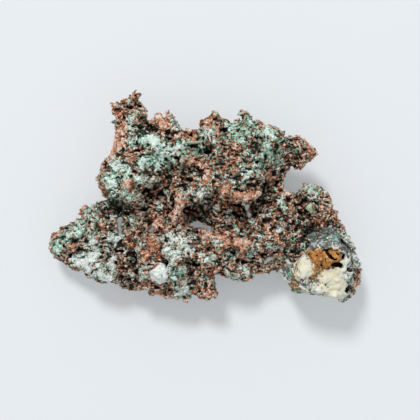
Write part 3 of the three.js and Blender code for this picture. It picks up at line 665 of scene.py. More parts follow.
# Spots where the copper's colour is darkened: painted shade in shadowed valleys, along with dark oxide. The
# shape dips there too.
DARK = [
    [28.2, 13, 1.2, 0.6], [44.2, -16.6, 0.8, 0.9], [45.6, -19.2, 0.8, 0.9], [36.6, -8, 1.2, 0.8],
    [33.2, -4, 1.2, 0.6], [32.8, -2, 1.0, 0.5], [-18.4, 20, 1.6, 1], [-18, 22.6, 1, 1],
    [-17, 19.2, 1.4, 1], [-15.4, 20.4, 1.2, 0.9], [-20, 19, 1, 0.6], [-26, 28, 0.8, 0.8],
    [-22, 26, 1, 0.8], [-20.6, 26.2, 0.8, 0.7], [-11, 17.4, 1.2, 0.8], [-12.6, 17.8, 0.8, 0.6],
    [-2.4, 14.6, 1, 0.9], [-4.4, 18.6, 0.8, 0.9], [-1.6, 13, 1, 0.7], [0.8, 13.6, 1.4, 1],
    [1.6, 14.4, 1, 1], [-24.8, 5.4, 0.9, 0.8], [-16.8, 7, 1.4, 0.6], [-13.4, 6.8, 1.2, 1],
    [-11.4, 6.8, 1.4, 1], [-12.2, 4.4, 0.9, 0.7], [-18, 1.6, 1.6, 1], [-19.4, 2.6, 1, 0.7],
    [-16.4, 0.6, 1.2, 0.9], [-14.4, 3, 1.2, 0.8], [-13, 1.2, 1, 0.9], [-10.8, 3.4, 1, 0.7],
    [-9.6, -0.6, 0.8, 1], [-9.4, -2.6, 0.8, 1], [-9.8, 1, 0.8, 0.8], [-6, 4.8, 1, 1], [-4.6, 4.6, 1, 1],
    [-6.2, 6.8, 1, 0.9], [-3.6, 7.6, 0.9, 0.9], [-2.6, 2.6, 0.9, 0.9], [-3.8, -0.6, 0.8, 0.9],
    [-9.4, 8.8, 1, 0.6], [-14.8, 8.6, 0.8, 0.6], [-17.6, -1, 1, 0.8], [-19.4, 0, 0.8, 0.6],
    [-25.6, -3.6, 2.6, 1], [-23.4, -4, 1.6, 1], [-28.4, -2.4, 1.4, 0.9], [-29, -3.6, 1, 0.7],
    [-27, -1.6, 1.2, 0.8], [-26, -5.6, 1, 0.9], [15, 17, 0.8, 1], [14.8, 15, 1.2, 1], [15.4, 13.6, 1, 1],
    [13.6, 14.2, 1, 0.7], [5.4, 19.4, 1, 1], [6, 18.6, 0.8, 0.8], [9.8, 19.2, 0.8, 0.6],
    [20.6, 15.8, 0.7, 0.9], [20.4, 13.6, 0.7, 0.7], [22.2, 19, 0.7, 0.8], [24, 17.6, 0.8, 0.9],
    [25, 14.4, 1, 0.9], [26, 13.6, 0.9, 0.8], [27.4, 11.6, 1.4, 0.8], [27.6, 9.6, 0.8, 0.9],
    [25.6, 9.4, 0.8, 0.7], [17.4, 8.4, 1.2, 0.8], [18.4, 8.6, 1, 0.8], [23.2, 7.4, 1, 1], [23, 5.6, 1, 1],
    [21.4, 4.4, 1.2, 1], [17.8, 3.4, 1.4, 0.9], [18.2, 1.4, 1.6, 1], [17, -0.8, 1.6, 1],
    [19, -1.6, 1.2, 0.9], [15.6, 4, 1, 0.8], [13, 3.4, 1, 0.7], [9.6, 2.4, 0.8, 0.7],
    [7.8, 3.4, 0.8, 0.6], [0.6, -0.8, 1.2, 1], [4, 1.2, 0.8, 0.6], [2, -3.4, 1, 0.9], [5.6, -2, 0.7, 0.7],
    [9.4, 12.8, 0.8, 0.6], [9.6, -4.4, 1.6, 1], [10.4, -2.6, 1.2, 1], [9.4, -6, 1, 0.8],
    [12, -4.6, 0.9, 0.7], [14, -3, 1.2, 0.8], [15, -5, 1.2, 0.7], [11, -6.6, 1, 0.6],
    [29.6, -4.8, 1.4, 1], [28.6, -6.8, 1.4, 0.9], [28.2, -8, 1, 0.9], [31, -6, 1, 0.9],
    [32, -8.4, 1.2, 0.9], [29.8, -1.2, 1, 1], [30.4, -11.4, 1.6, 1], [29.4, -13, 1.4, 1],
    [30.2, -14.4, 1.2, 1], [27.6, -16.8, 1.6, 0.9], [25.8, -18.4, 1.2, 0.8], [30, -9.4, 1.4, 0.8],
    [26.2, -16.4, 0.6, 0.9], [23.2, -12.4, 0.8, 1], [24, -13, 0.7, 0.9], [21.8, -7.6, 0.9, 0.8],
    [24.4, -6.8, 1, 0.9], [26.6, -9.6, 0.8, 0.6], [38, -8.4, 1.2, 0.8], [39.4, -9.2, 1, 0.8],
    [37.6, -5, 0.7, 0.7], [33.6, -8.6, 1, 0.7], [22, -19, 0.8, 0.6], [26.8, -19, 1.2, 0.8],
    [25, -17.8, 0.8, 0.7], [-5, -5, 2.2, 1], [-3, -6.2, 2.4, 1], [-1.2, -5, 1.8, 1], [-4, -7.4, 1.4, 1],
    [-1, -7.4, 1.4, 1], [-6.4, -6, 1.2, 0.8], [2, -8, 1.2, 0.9], [3, -9, 0.8, 0.8], [1, -4, 1, 0.7],
    [-11.2, -4.4, 0.9, 1], [-10.8, -6.6, 0.8, 0.9], [5.6, -9, 1.2, 0.8], [7.4, -9, 1, 0.7],
    [6, -5, 0.8, 0.7], [7, -15.8, 1.4, 1], [8.4, -16.8, 1.2, 1], [-1.6, -13.4, 0.8, 1],
    [4.4, -19, 0.8, 1], [-3.4, -19.6, 1.6, 0.9], [-5.4, -19.4, 1.2, 0.9], [-7, -19, 1, 0.8],
    [-2, -20.4, 1.2, 0.8], [-4.4, -21.6, 1, 0.8], [-4, -23, 1.2, 0.8], [-0.8, -22.8, 1.2, 0.8],
    [1.6, -22.4, 1, 0.6], [-8.6, -25.6, 1, 0.6], [-12.4, -28.4, 1, 0.7], [-10.6, -28, 1, 0.7],
    [-21.4, -17.4, 1.6, 0.9], [-21, -19.4, 1.6, 0.9], [-20, -18.4, 1.2, 0.9], [-22, -16, 1, 0.8],
    [-22.4, -20.8, 1, 0.7], [-26.4, -18.2, 0.8, 1], [-26.2, -19.6, 0.7, 1], [-37.4, -15.4, 1.2, 1],
    [-37, -16.8, 0.7, 1], [-38.6, -13.2, 0.8, 0.7], [-24.6, -24, 1.2, 0.7], [-23, -24.8, 1.2, 0.7],
    [-22, -27, 1.2, 0.8], [-20.6, -26.4, 1, 0.7], [-20.2, -22.6, 0.8, 0.6], [-24, -21.6, 1, 0.6],
    [-17, -6.6, 1, 0.8], [-16.2, -8.6, 0.8, 0.8], [-22.4, -12.6, 1, 0.5], [-23.6, -14.6, 0.8, 0.6],
    [-32, -8.8, 0.8, 0.6], [-27, -16, 0.7, 0.8], [45, -22, 1.4, 0.7],
]
GREEN = [
    [19.2, 13, 2, 1], [20.6, 12.4, 1.4, 0.9], [-7, -22, 2.2, 1], [-6, -21, 1.4, 0.9],
    [-25.4, -3.4, 2.8, 0.8], [14.8, 14.6, 1.8, 0.9], [-28.4, -1.4, 1.4, 0.9], [-19, 19.8, 1.8, 0.8],
    [-10.6, 9.4, 1.8, 0.6], [4.6, 4.4, 1.6, 0.6], [-16.4, 7, 1.6, 0.5], [-5, -20, 1.4, 0.7],
    [0.8, -0.8, 1.3, 1], [17.8, 0, 2.4, 0.5], [8, -16.6, 1.4, 0.7], [30, -0.6, 1.2, 0.7],
    [-2.2, 13.2, 1.6, 0.7], [12, 18.6, 1.8, 0.4], [-32.6, -3.8, 1.4, 0.6],
]
TEAL = [
    [-27.4, 5.4, 1, 0.9], [-44, -14, 1, 0.8], [-45, -16, 0.9, 0.8], [-8.6, -17.2, 1, 0.9],
    [-18.4, 17, 0.7, 0.9], [-12.3, 11.4, 0.8, 1], [-0.8, 3.1, 0.7, 1], [-7, 1.5, 0.5, 0.9],
    [7.6, 20.8, 1, 0.7], [1.4, 10, 0.7, 0.8], [8.6, 5, 0.6, 0.7], [12.4, 12.6, 0.7, 0.9],
    [-29.4, -14.8, 0.8, 0.9], [-37.8, -10.6, 0.9, 0.8], [-34.4, -11, 0.6, 0.8], [-28, -10.4, 0.6, 0.9],
    [-34.4, -16.6, 0.6, 0.7], [-22, -18, 0.6, 0.8], [-1, -15, 0.6, 0.8], [9, -9.6, 0.6, 1],
    [13, -17, 0.7, 0.8], [7.2, -22.8, 0.7, 0.9], [10.6, -24.4, 0.6, 0.7], [18.4, -21, 0.5, 0.8],
    [-26, -14.2, 0.6, 0.7], [-22.4, 7.4, 0.9, 0.6], [-9, -23, 0.6, 0.7], [22.6, -0.6, 0.7, 0.6],
    [-21.4, 21.8, 0.6, 0.6], [20.8, 10.4, 0.6, 0.8],
]
MINTY = [
    [-26, 4, 7, 1], [-16, 12, 8, 1], [-5, 13, 6, 0.8], [10, 20, 8, 1], [19, 16, 6, 1], [24, 12, 5, 0.6],
    [12, 7, 6, 0.6], [-43, -13, 4, 0.9], [-36, -9, 5, 0.6], [-22, 22, 4, 0.6], [-24, -4, 4, 0.9],
    [-7, -22, 4, 0.5], [31, 3, 5, 0.4], [25, -4, 4, 0.4], [-28, -13, 3, 0.5],
]


# ---------------------------------------- finishes of the copper and its crusts


def paint(*levels):
    """A colour given as screen values of red, green and blue, 0 to 255."""
    shares = [level / 255 for level in levels]
    return tuple(((share + 0.055) / 1.055) ** 2.4 if share > 0.04 else share / 12.92 for share in shares)


class Finish(Tree):
    """A material's node tree, with object coordinates ready."""

    def __init__(self, name):
        self.material = bpy.data.materials.new(name)
        self.material.use_nodes = True
        self.material.node_tree.nodes.clear()
        super().__init__(self.material.node_tree)
        self.here = self.node("ShaderNodeTexCoord", {}, {}, "Object")

    def knows(self, name):
        """A value stored on the piece's points."""
        return self.node("ShaderNodeAttribute", {"attribute_name": name}, {}, "Fac")

    def mix(self, share, first, second):
        settings = {"data_type": "RGBA", "clamp_factor": True}
        return self.node("ShaderNodeMix", settings, {0: share, 6: first, 7: second}, 2)

    def shades(self, share, *stops):
        """A colour that runs through stops of (position, colour) as share goes from 0 to 1."""
        (last, colour), *others = stops
        for position, other in others:
            colour = self.mix(share.ramp(last, position), colour, other)
            last = position
        return colour

    def crystals(self, place, size):
        """How far the nearest crystal's middle is, and three numbers random from crystal to crystal."""
        middle = self.cells(place, size)
        (colour,) = self.outputs(middle, "Color")
        return (middle, *self.parts(colour))

    def bump(self, height, depth):
        """Height 0..1 stands for depth."""
        return self.node("ShaderNodeBump", {}, {"Distance": depth, "Height": height})

    def close(self, colour, roughness, metallic=0.0, normal=None):
        sockets = {"Base Color": colour, "Roughness": roughness, "Metallic": metallic, "Normal": normal}
        shader = self.node("ShaderNodeBsdfPrincipled", {}, sockets)
        self.node("ShaderNodeOutputMaterial", {}, {"Surface": shader})
        return self.material


def metal_shades(finish, shade):
    """Copper from near black through brown and orange to pale pink."""
    return finish.shades(
        shade, (0.05, paint(24, 15, 10)), (0.28, paint(90, 52, 37)), (0.5, paint(164, 98, 68)),
        (0.74, paint(232, 162, 124)), (1.0, paint(255, 230, 208)),
    )


def polished_and_sheen_shades(finish, shade):
    """Bare copper that handling has worn smooth, painted brighter with a sheen, from brown to a pale pink.
    """
    return finish.shades(
        shade, (0.12, paint(90, 56, 42)), (0.4, paint(176, 120, 92)), (0.68, paint(230, 176, 144)),
        (0.95, paint(255, 246, 236)),
    )


def crust_shades(finish, shade, minty):
    """Crust from dark grey-green to chalk white, or through mint where minty is 1."""
    chalk = finish.shades(
        shade, (0.0, paint(44, 48, 38)), (0.28, paint(104, 114, 98)), (0.52, paint(156, 170, 152)),
        (0.78, paint(210, 222, 208)), (1.0, paint(250, 253, 249)),
    )
    mint = finish.shades(
        shade, (0.0, paint(34, 50, 38)), (0.28, paint(82, 114, 92)), (0.52, paint(130, 170, 146)),
        (0.78, paint(190, 226, 204)), (1.0, paint(242, 254, 247)),
    )
    return finish.mix(minty, chalk, mint)


def jade_shades(finish, shade):
    """Malachite and turquoise."""
    lights = (0.1, paint(50, 124, 100)), (0.5, paint(100, 196, 166)), (0.9, paint(176, 244, 224))
    return finish.shades(shade, *lights)


def hollow_shade_and_oxide(finish):
    """0 on faces open to the air, 1 deep in a hollow: how much painted shade, with dark oxide, goes there.
    """
    air, dip, sink, dark = (finish.knows(name) for name in ("open", "dip", "sink", "dark"))
    return (0.66 - air + dip * 1.9 + sink * 0.18 + dark * 0.12).ramp(0.08, 0.62)


def weathered(finish, shade, luck, odd, fine, bias):
    """The nugget's mixture of copper, crust and dark oxide, with painted shade in its hollows and a painted
    sheen on bare copper. Returns its colour and its share of metal.

    shade, luck and odd are random from crystal to crystal, and bias adds to the share of crust.
    """
    names = ("crust", "bare", "dark", "green", "teal", "minty")
    crust, bare, dark, green, teal, minty = (finish.knows(name) for name in names)
    drift = finish.noise(finish.here, 4 * MM, 3)
    patch = finish.noise(finish.here, 1.5 * MM, 2)
    _, tone, kind, _ = finish.crystals(finish.shaken(finish.here, 1.4 * MM, 1.2 * MM), 1.5 * MM)
    # The dark spots darken the colour here: painted shade in shadowed valleys, with dark oxide.
    base = 0.35 * drift + 0.3 * fine - dark * 0.2 - 0.05
    rubbed_and_sheen = bare.ramp(0.35, 0.85)
    solid = crust.ramp(0.7, 1.0)
    # Bare copper is painted brighter here, as a painted sheen.
    bright = base + 0.9 * (shade * (1 - rubbed_and_sheen * 0.55) + rubbed_and_sheen * 0.3) + 0.26 * tone + bare * 0.2 - 0.37
    metal = finish.mix(rubbed_and_sheen * 0.65, metal_shades(finish, bright), polished_and_sheen_shades(finish, bright))
    pale = base + 0.6 * (shade * (1 - solid * 0.4) + solid * 0.3) + 0.28 * tone
    pale = pale + crust * 0.3 + solid * 0.18 - minty * 0.04 - green * 0.3 - 0.18
    chalk = crust_shades(finish, pale, minty)
    share = crust * 0.46 + solid * 0.14 + 0.34 + bias
    share = share + (drift - 0.5) * 0.5 + (kind - 0.5) * 0.3 - bare * 0.42
    cover = (share - (luck * 0.58 + (patch - 0.32) * 1.1)).ramp(-0.05, 0.05).most(green * 0.9)
    colour = finish.mix(cover, metal, chalk)
    gem = (odd - bare * 0.14 + teal * 0.55 + (drift - 0.5) * 0.4 + (patch - 0.5) * 0.5).ramp(0.93, 0.97)
    colour = finish.mix(gem, colour, jade_shades(finish, shade * 0.7 + fine * 0.4 + teal * 0.2))
    sooty = 0.16 + dark * 0.3 - bare * 0.14 - solid * 0.2 - odd + (0.5 - patch) * 0.5
    colour = finish.mix(sooty.ramp(-0.04, 0.04) * 0.9, colour, paint(18, 14, 10))
    # Painted shade, with dark oxide: the colour goes near black deep in hollows and dips.
    painted_shade_and_oxide = hollow_shade_and_oxide(finish) * (0.96 - solid * 0.5 - rubbed_and_sheen * 0.2)
    colour = finish.mix(painted_shade_and_oxide, colour, paint(12, 8, 5))
    return colour, (1 - cover) * (1 - gem) * (1 - rubbed_and_sheen * 0.5)


def copper_finish():
    """The look of the copper mass: metal, crusts and oxide, with painted shade darkening its hollows and
    painted light on its crests.
    """
    finish = Finish("weathered copper")
    ragged = finish.shaken(finish.here, 0.8 * MM, 0.7 * MM)
    middle, shade, luck, odd = finish.crystals(ragged, 0.55 * MM)
    fine = finish.noise(finish.here, 0.35 * MM, 2)
    dip = finish.knows("dip")
    # Painted light and shade: crests lighter and dips darker in the colour.
    crest_light_and_dip_shade = (dip * -2.4).ramp(0.0, 1.0) - (dip * 2.4).ramp(0.0, 1.0)
    colour, metal = weathered(finish, shade * 0.85 + 0.06 + crest_light_and_dip_shade * 0.4, luck, odd, fine, 0.0)
    grain = finish.noise(finish.here, 0.18 * MM)
    height = (0.7 - middle) * 0.8 + fine * 0.4 + shade * 0.3 + grain * 0.2
    return finish.close(colour, 0.92 - metal * 0.5, metal * 0.6, finish.bump(height, 0.5 * MM))


def crystal_finish(name, bias):
    """A finish for scattered crystals, each with a tint of its own."""
    finish = Finish(name)
    tint, luck = finish.knows("tint"), finish.knows("luck")
    fine = finish.noise(finish.here, 0.3 * MM, 2)
    colour, metal = weathered(finish, tint, luck, (luck * 17).math("FRACT"), fine, bias)
    return finish.close(colour, 0.9 - metal * 0.5, metal * 0.6, finish.bump(fine, 0.12 * MM))


# ---------------------------------------- crystals and grains scattered over a mass


def crystal_shape(name, seed, corners, stretch):
    """An angular crystal, about as large as stretch says each way: eight faces, or twenty if corners."""
    rng = np.random.default_rng(seed)
    solid = bmesh.new()
    if corners:
        bmesh.ops.create_icosphere(solid, subdivisions=1, radius=0.5)
    else:
        ends = [(0.5, 0, 0), (0, 0.5, 0), (-0.5, 0, 0), (0, -0.5, 0), (0, 0, 0.5), (0, 0, -0.5)]
        made = [solid.verts.new(end) for end in ends]
        for side in range(4):
            solid.faces.new((made[side], made[(side + 1) % 4], made[4]))
            solid.faces.new((made[(side + 1) % 4], made[side], made[5]))
    for vert in solid.verts:
        vert.co *= rng.uniform(0.65, 1.3)
        vert.co += Vector(rng.uniform(-0.12, 0.12, 3))
        vert.co *= Vector(stretch)
    mesh = bpy.data.meshes.new(name)
    solid.to_mesh(mesh)
    solid.free()
    return new_piece(name, mesh)


def stored(tree, name):
    """A number that was stored on the ground's points."""
    return tree.node("GeometryNodeInputNamedAttribute", {}, {"Name": name})


def crust_share(tree):
    """Dense where the crust is thick."""
    patchy = tree.noise(tree.node("GeometryNodeInputPosition"), 1.8 * MM, 2)
    thick = (stored(tree, "crust") + patchy * 0.9 - 0.45).ramp(0.15, 0.8) * (1 - stored(tree, "green") * 0.8)
    return thick * stored(tree, "open").ramp(0.2, 0.5)


def metal_share(tree):
    """Dense on rough metal."""
    patchy = tree.noise(tree.node("GeometryNodeInputPosition"), 2.2 * MM, 2)
    free = (1 - stored(tree, "crust") * 0.8) * (1 - stored(tree, "bare") * 1.05).most(0.0)
    return free * stored(tree, "open").ramp(0.2, 0.5) * patchy.ramp(0.38, 0.6)


def speck_share(tree):
    """Thin all over, in clusters."""
    patchy = tree.noise(tree.node("GeometryNodeInputPosition"), 2.0 * MM, 3)
    free = (1 - stored(tree, "bare") * 0.7) * (1 - stored(tree, "crust") * 0.4)
    return free * stored(tree, "open").ramp(0.15, 0.45) * patchy.ramp(0.46, 0.6)


def scatter_tree(name, share, count, swing):
    """Scatters count shapes over a surface, each swung by up to swing from upright and turned at random."""
    labels = [f"Shape {k}" for k in range(count)]
    tree, given = geometry_tree(name, ["Density", "Smallest", "Largest", "Sunk"], labels)
    _, _, height = tree.parts(tree.node("GeometryNodeInputPosition"))
    where = share(tree) * height.ramp(0.7 * MM, 1.2 * MM)
    heaps = []
    for k, label in enumerate(labels):
        sockets = {"Mesh": given["Geometry"], "Density": given["Density"] * where, "Seed": 11 + 7 * k}
        spots = tree.node("GeometryNodeDistributePointsOnFaces", {}, sockets)
        normal, upright = tree.outputs(spots, "Normal", "Rotation")
        ends = {0: (-swing, -swing, -math.pi), 1: (swing, swing, math.pi), "Seed": 3 + k}
        tilt = tree.node("FunctionNodeRandomValue", {"data_type": "FLOAT_VECTOR"}, ends)
        turned = tree.node("FunctionNodeRotateRotation", {"rotation_space": "LOCAL"}, {0: upright, 1: tilt})
        chance = {2: 0.0, 3: 1.0}
        luck = tree.node("FunctionNodeRandomValue", {"data_type": "FLOAT"}, chance | {"Seed": 5 + k}, 1)
        size = given["Smallest"] + (given["Largest"] - given["Smallest"]) * luck**2.0
        sockets = {"Vector": normal, "Scale": -(size * given["Sunk"])}
        sunk = tree.node("ShaderNodeVectorMath", {"operation": "SCALE"}, sockets)
        spots = tree.node("GeometryNodeSetPosition", {}, {"Geometry": spots, "Offset": sunk})
        for label_seed, attribute in enumerate(("tint", "luck")):
            seed = {"Seed": 9 + 20 * label_seed + k}
            draw = tree.node("FunctionNodeRandomValue", {"data_type": "FLOAT"}, chance | seed, 1)
            spots = remember(tree, spots, attribute, draw)
        shape = tree.node("GeometryNodeObjectInfo", {}, {"Object": given[label]}, "Geometry")
        sockets = {"Points": spots, "Instance": shape, "Rotation": turned, "Scale": size}
        heaps.append(tree.node("GeometryNodeInstanceOnPoints", {}, sockets))
    heap = tree.node("GeometryNodeJoinGeometry", {}, {"Geometry": heaps})
    return close_tree(tree, given, heap)


def scatter(name, ground, shapes, share, material, density, smallest, largest, sunk, swing=math.pi):
    """Scatters density crystals per square millimetre of ground where share is 1. Sizes are in mm."""
    piece = new_piece(name, ground.data.copy())
    tree = scatter_tree(name + " scatter", share, len(shapes), swing)
    density = density * 1.0 / len(shapes) / MM**2
    values = {"Density": density, "Smallest": smallest * MM, "Largest": largest * MM, "Sunk": sunk}
    values |= {f"Shape {k}": shape for k, shape in enumerate(shapes)}
    evaluate(piece, tree, values | {"Material": material})
    drop(*shapes)
    return piece


def make_crystals(copper):
    """The crystals that grow on the copper and on its crusts."""
    def shapes(seed, corners, *stretch):
        return [crystal_shape(f"shape {seed + k}", seed + k, corners, stretch) for k in range(3)]

    metal = crystal_finish("copper crystals", -0.05)
    chalk = crystal_finish("chalky crust", 0.3)
    specks = crystal_finish("green specks", 0.8)
    # The numbers are crystals per square millimetre, the smallest and largest size, and how far one is sunk.
    heaps = [
        ("copper_hackle", "copper", shapes(40, False, 0.4, 0.9, 1.3), metal_share, metal)
        + (2.0, 0.4, 1.05, 0.25, math.radians(65)),
        ("copper_grit", "copper", shapes(50, False, 0.5, 0.9, 1.2), metal_share, metal, 2.6, 0.3, 0.7, 0.18),
        ("crust_lumps", "patina", shapes(20, True, 0.9, 1.1, 0.7), crust_share, chalk, 1.2, 0.4, 1.0, 0.22),
        ("crust_grit", "patina", shapes(30, False, 0.6, 1.0, 1.2), crust_share, chalk, 3.4, 0.25, 0.6, 0.15),
        ("green_specks", "patina", shapes(60, False, 1, 1, 1), speck_share, specks, 1.3, 0.25, 0.55, 0.05),
    ]
    for name, slot, kinds, share, material, *amounts in heaps:
        heap = scatter(name, copper, kinds, share, material, *amounts)
        dress(heap, None, smooth=False)


# ---------------------------------------- the minerals

QUARTZ_MIDDLE = (35.4, -21.0)  # the platy shell is wrapped round this upright axis
PLATE = 0.8 * MM  # how thick a plate of the shell is


def shell_radius(tree, place):
    """Distance from the axis of the quartz's platy shell."""
    x, y, _ = tree.parts(place)
    middle_x, middle_y = QUARTZ_MIDDLE
    return ((x - middle_x * MM) ** 2.0 + (y - middle_y * MM) ** 2.0) ** 0.5


def stone_tree(name, low, high, grain):
    """A mineral mass: its solid in flat-sided lumps, platy near its shell, with rods added and shafts."""
    numbers = ["Block", "Break", "Grit", "Swell", "Plates"]
    tree, given = geometry_tree(name, numbers, ["Added", "Cut"])
    here = tree.node("GeometryNodeInputPosition")
    bent = tree.shaken(here, 6 * MM, 2 * MM)
    wavy = tree.shaken(here, 1.8 * MM, 1.2 * MM)
    body = distance_to_solid(tree, given["Geometry"], bent) - given["Swell"]
    body = body.melt(distance_to_balls(tree, given["Added"], wavy), 0.8 * MM)
    body = body + given["Block"] * (tree.cells(bent, 5 * MM, "CHEBYCHEV") - 0.45)
    body = body + given["Break"] * (tree.cells(wavy, 2.0 * MM, "MANHATTAN") - 0.6)
    body = body + given["Grit"] * tree.waves(here, 1.2 * MM, 4)
    _, y, height = tree.parts(here)
    shell = shell_radius(tree, wavy)
    platy = shell.ramp(8.2 * MM, 9.4 * MM) * y.ramp(-24 * MM, -18 * MM)
    body = body + given["Plates"] * platy * ((shell + height * 0.5).fold(PLATE) / PLATE - 0.5)
    body = body.most(-distance_to_balls(tree, given["Cut"], wavy))
    body = body.most(0.05 * MM - height)
    return close_tree(tree, given, meshed_field(tree, body, low, high, grain, crumb=300))


def make_stone(name, node, material, added, cut, grain, triangles, **amounts):
    """A mineral mass grown from a CAD node. amounts are the sizes that stone_tree names, in millimetres."""
    low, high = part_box(node)
    margin = Vector((1, 1, 1)) * 2.0 * MM
    stone = solid_copy(node, name)
    # Smooth shading blends the facings, so that space over a sharp rim isn't taken for the inside.
    stone.data.polygons.foreach_set("use_smooth", [True] * len(stone.data.polygons))
    tree = stone_tree(name + " field", low - margin, high + margin, grain * 1 * MM)
    helpers = {"Added": rods("added", added), "Cut": shafts("cut", cut)}
    values = {key: amount * MM for key, amount in amounts.items()}
    evaluate(stone, tree, values | helpers | {"Material": material})
    drop(*helpers.values())
    thinned(stone, triangles)
    know_surface(stone, material, 4 * MM)
    return stone


QUARTZ_MARKS = {
    "rust": [
        [26, -23.4, 1.6, 0.8], [26, -25.6, 2, 0.85], [28, -27.8, 1.6, 0.75], [25.6, -27.2, 1.2, 0.7],
        [33, -18, 3.4, 1], [30.6, -16.4, 1.8, 0.9], [37, -17.4, 3, 1], [32.8, -21.4, 2, 0.95],
        [31.2, -23.4, 1.6, 0.8], [33.8, -22.6, 1.4, 0.6], [26.6, -24.4, 1.8, 0.75],
        [27.2, -26.6, 2, 0.75], [29.2, -27.4, 1.6, 0.55], [41.8, -17.4, 1.4, 0.55], [35, -21.0, 1.4, 0.6],
        [27.4, -20.6, 1.2, 0.4], [40, -20.8, 1.4, 0.5], [34, -26.4, 2, 0.35], [38.6, -26.4, 2, 0.25],
        [28.6, -22.6, 1.2, 0.45],
    ],
    "grey": [
        [26.2, -24.4, 1.8, 0.85], [27.4, -27.4, 1.8, 0.7], [31.4, -27.6, 1.8, 0.5],
        [34.6, -28.4, 1.6, 0.45], [29, -25, 2.2, 0.6], [31.2, -25.8, 2, 0.5], [27.4, -26.2, 2, 0.65],
        [42.4, -30.8, 1.6, 1], [25.4, -21, 1.6, 0.7], [33, -11.8, 3.4, 1], [36.4, -10.8, 3.4, 1],
        [39.6, -12, 3, 1], [35.6, -13.6, 3, 0.9], [42, -15.2, 3, 0.9], [44.4, -19.6, 2.6, 1],
        [44.2, -23.6, 2.4, 0.9], [43, -25.4, 2, 0.6], [24.2, -22, 2, 0.95], [25, -24, 1.6, 0.7],
        [31.4, -14.6, 1.6, 0.8], [30, -28.8, 1.8, 0.4], [33.6, -25.8, 2, 0.4], [36, -27, 1.6, 0.35],
        [42.6, -31, 2, 0.5], [40.4, -30.8, 1.4, 0.3], [29, -26, 2, 0.4], [41.4, -22.6, 1.8, 0.6],
        [26.4, -21, 1.4, 0.4],
    ],
    "cream": [
        [28, -21.4, 3, 0.8], [30.4, -22, 2, 0.7], [36, -22.6, 3.4, 0.8], [38, -24.6, 3.4, 0.9],
        [37.6, -27.8, 3, 0.5], [34, -24.6, 2.4, 0.6], [39.4, -21.6, 2, 0.6],
    ],
    "green": [
        [38.6, -12.4, 1.6, 0.7], [36, -12, 1.4, 0.6], [41.8, -23, 1.8, 0.7], [43.2, -26, 1.6, 0.7],
        [28, -29, 1.6, 0.9], [33.4, -29.2, 1.2, 0.9], [25.2, -22.6, 1.2, 0.8], [25.2, -24.6, 1, 0.7],
        [41.2, -20.6, 1.2, 0.7], [29.4, -26.6, 1.2, 0.5], [43.4, -29.2, 1.6, 0.6],
        [44.6, -21.2, 1.2, 0.7], [34.4, -14.8, 1.2, 0.5], [42.8, -17.4, 1.4, 0.5], [35.6, -26.4, 1, 0.5],
        [38.2, -22.6, 0.8, 0.5],
    ],
}
QUARTZ_KNOBS = [
    [[42, -30.2, 8, 1.9], [43.4, -29, 9, 1.8]], [[27.8, -28.4, 8, 1.2]],
    [[24.2, -21.8, 10, 1.2], [25.2, -23.6, 10, 1.4]], [[30, -15.4, 16, 1], [34, -14.4, 18, 1.2]],
    [[41.6, -15, 15, 1.4], [43, -18, 14, 1.2]],
]
QUARTZ_PITS = [
    [26.2, -18.6, 30.2, -13.8, 1.1, 10], [34, -31.0, 39.4, -31.7, 1.3, 0],
    [37.6, -19.4, 39.6, -20.1, 0.75, 16], [40.7, -16.8, 40.4, -18.4, 0.3, 17],
    [42.5, -27.5, 42.8, -27.3, 1.2, 9], [40.4, -18, 40.9, -17.4, 0.3, 17],
    [41.8, -21.2, 42.6, -21.6, 0.5, 15], [43.6, -23, 44, -23.6, 0.35, 13],
]
LIMONITE_KNOBS = [
    [[31.8, -16.9, 20, 1.3], [33, -18, 20.2, 2.4], [34.4, -18.8, 19.8, 1.8]], [[33, -16.4, 19.8, 1.2]],
    [[35.4, -17.2, 20.2, 1.2], [37.2, -17.6, 20, 1.2]], [[32.2, -22.4, 17.6, 1], [32.1, -24.2, 17, 1]],
    [[38.6, -16.9, 19.8, 1.4]], [[39.8, -17.6, 19.4, 0.9]], [[36, -16.6, 20.2, 1]],
]
LIMONITE_PITS = [
    [35.5, -15.6, 35.9, -16.6, 0.5, 18.6], [36.3, -17.3, 37.2, -18.0, 0.5, 19.2],
    [37.5, -18.5, 38.1, -18.2, 0.28, 19.6], [39.9, -16.8, 40.5, -18.8, 0.6, 17],
    [37.8, -19.9, 40, -20.3, 1.0, 16], [33.8, -19.7, 34.1, -20.1, 0.25, 19.6],
    [35, -17.6, 35.2, -19.4, 0.12, 20.2], [38.6, -16.4, 38.9, -16.9, 0.22, 20],
    [32.2, -17, 32.6, -17.2, 0.2, 19.8],
]


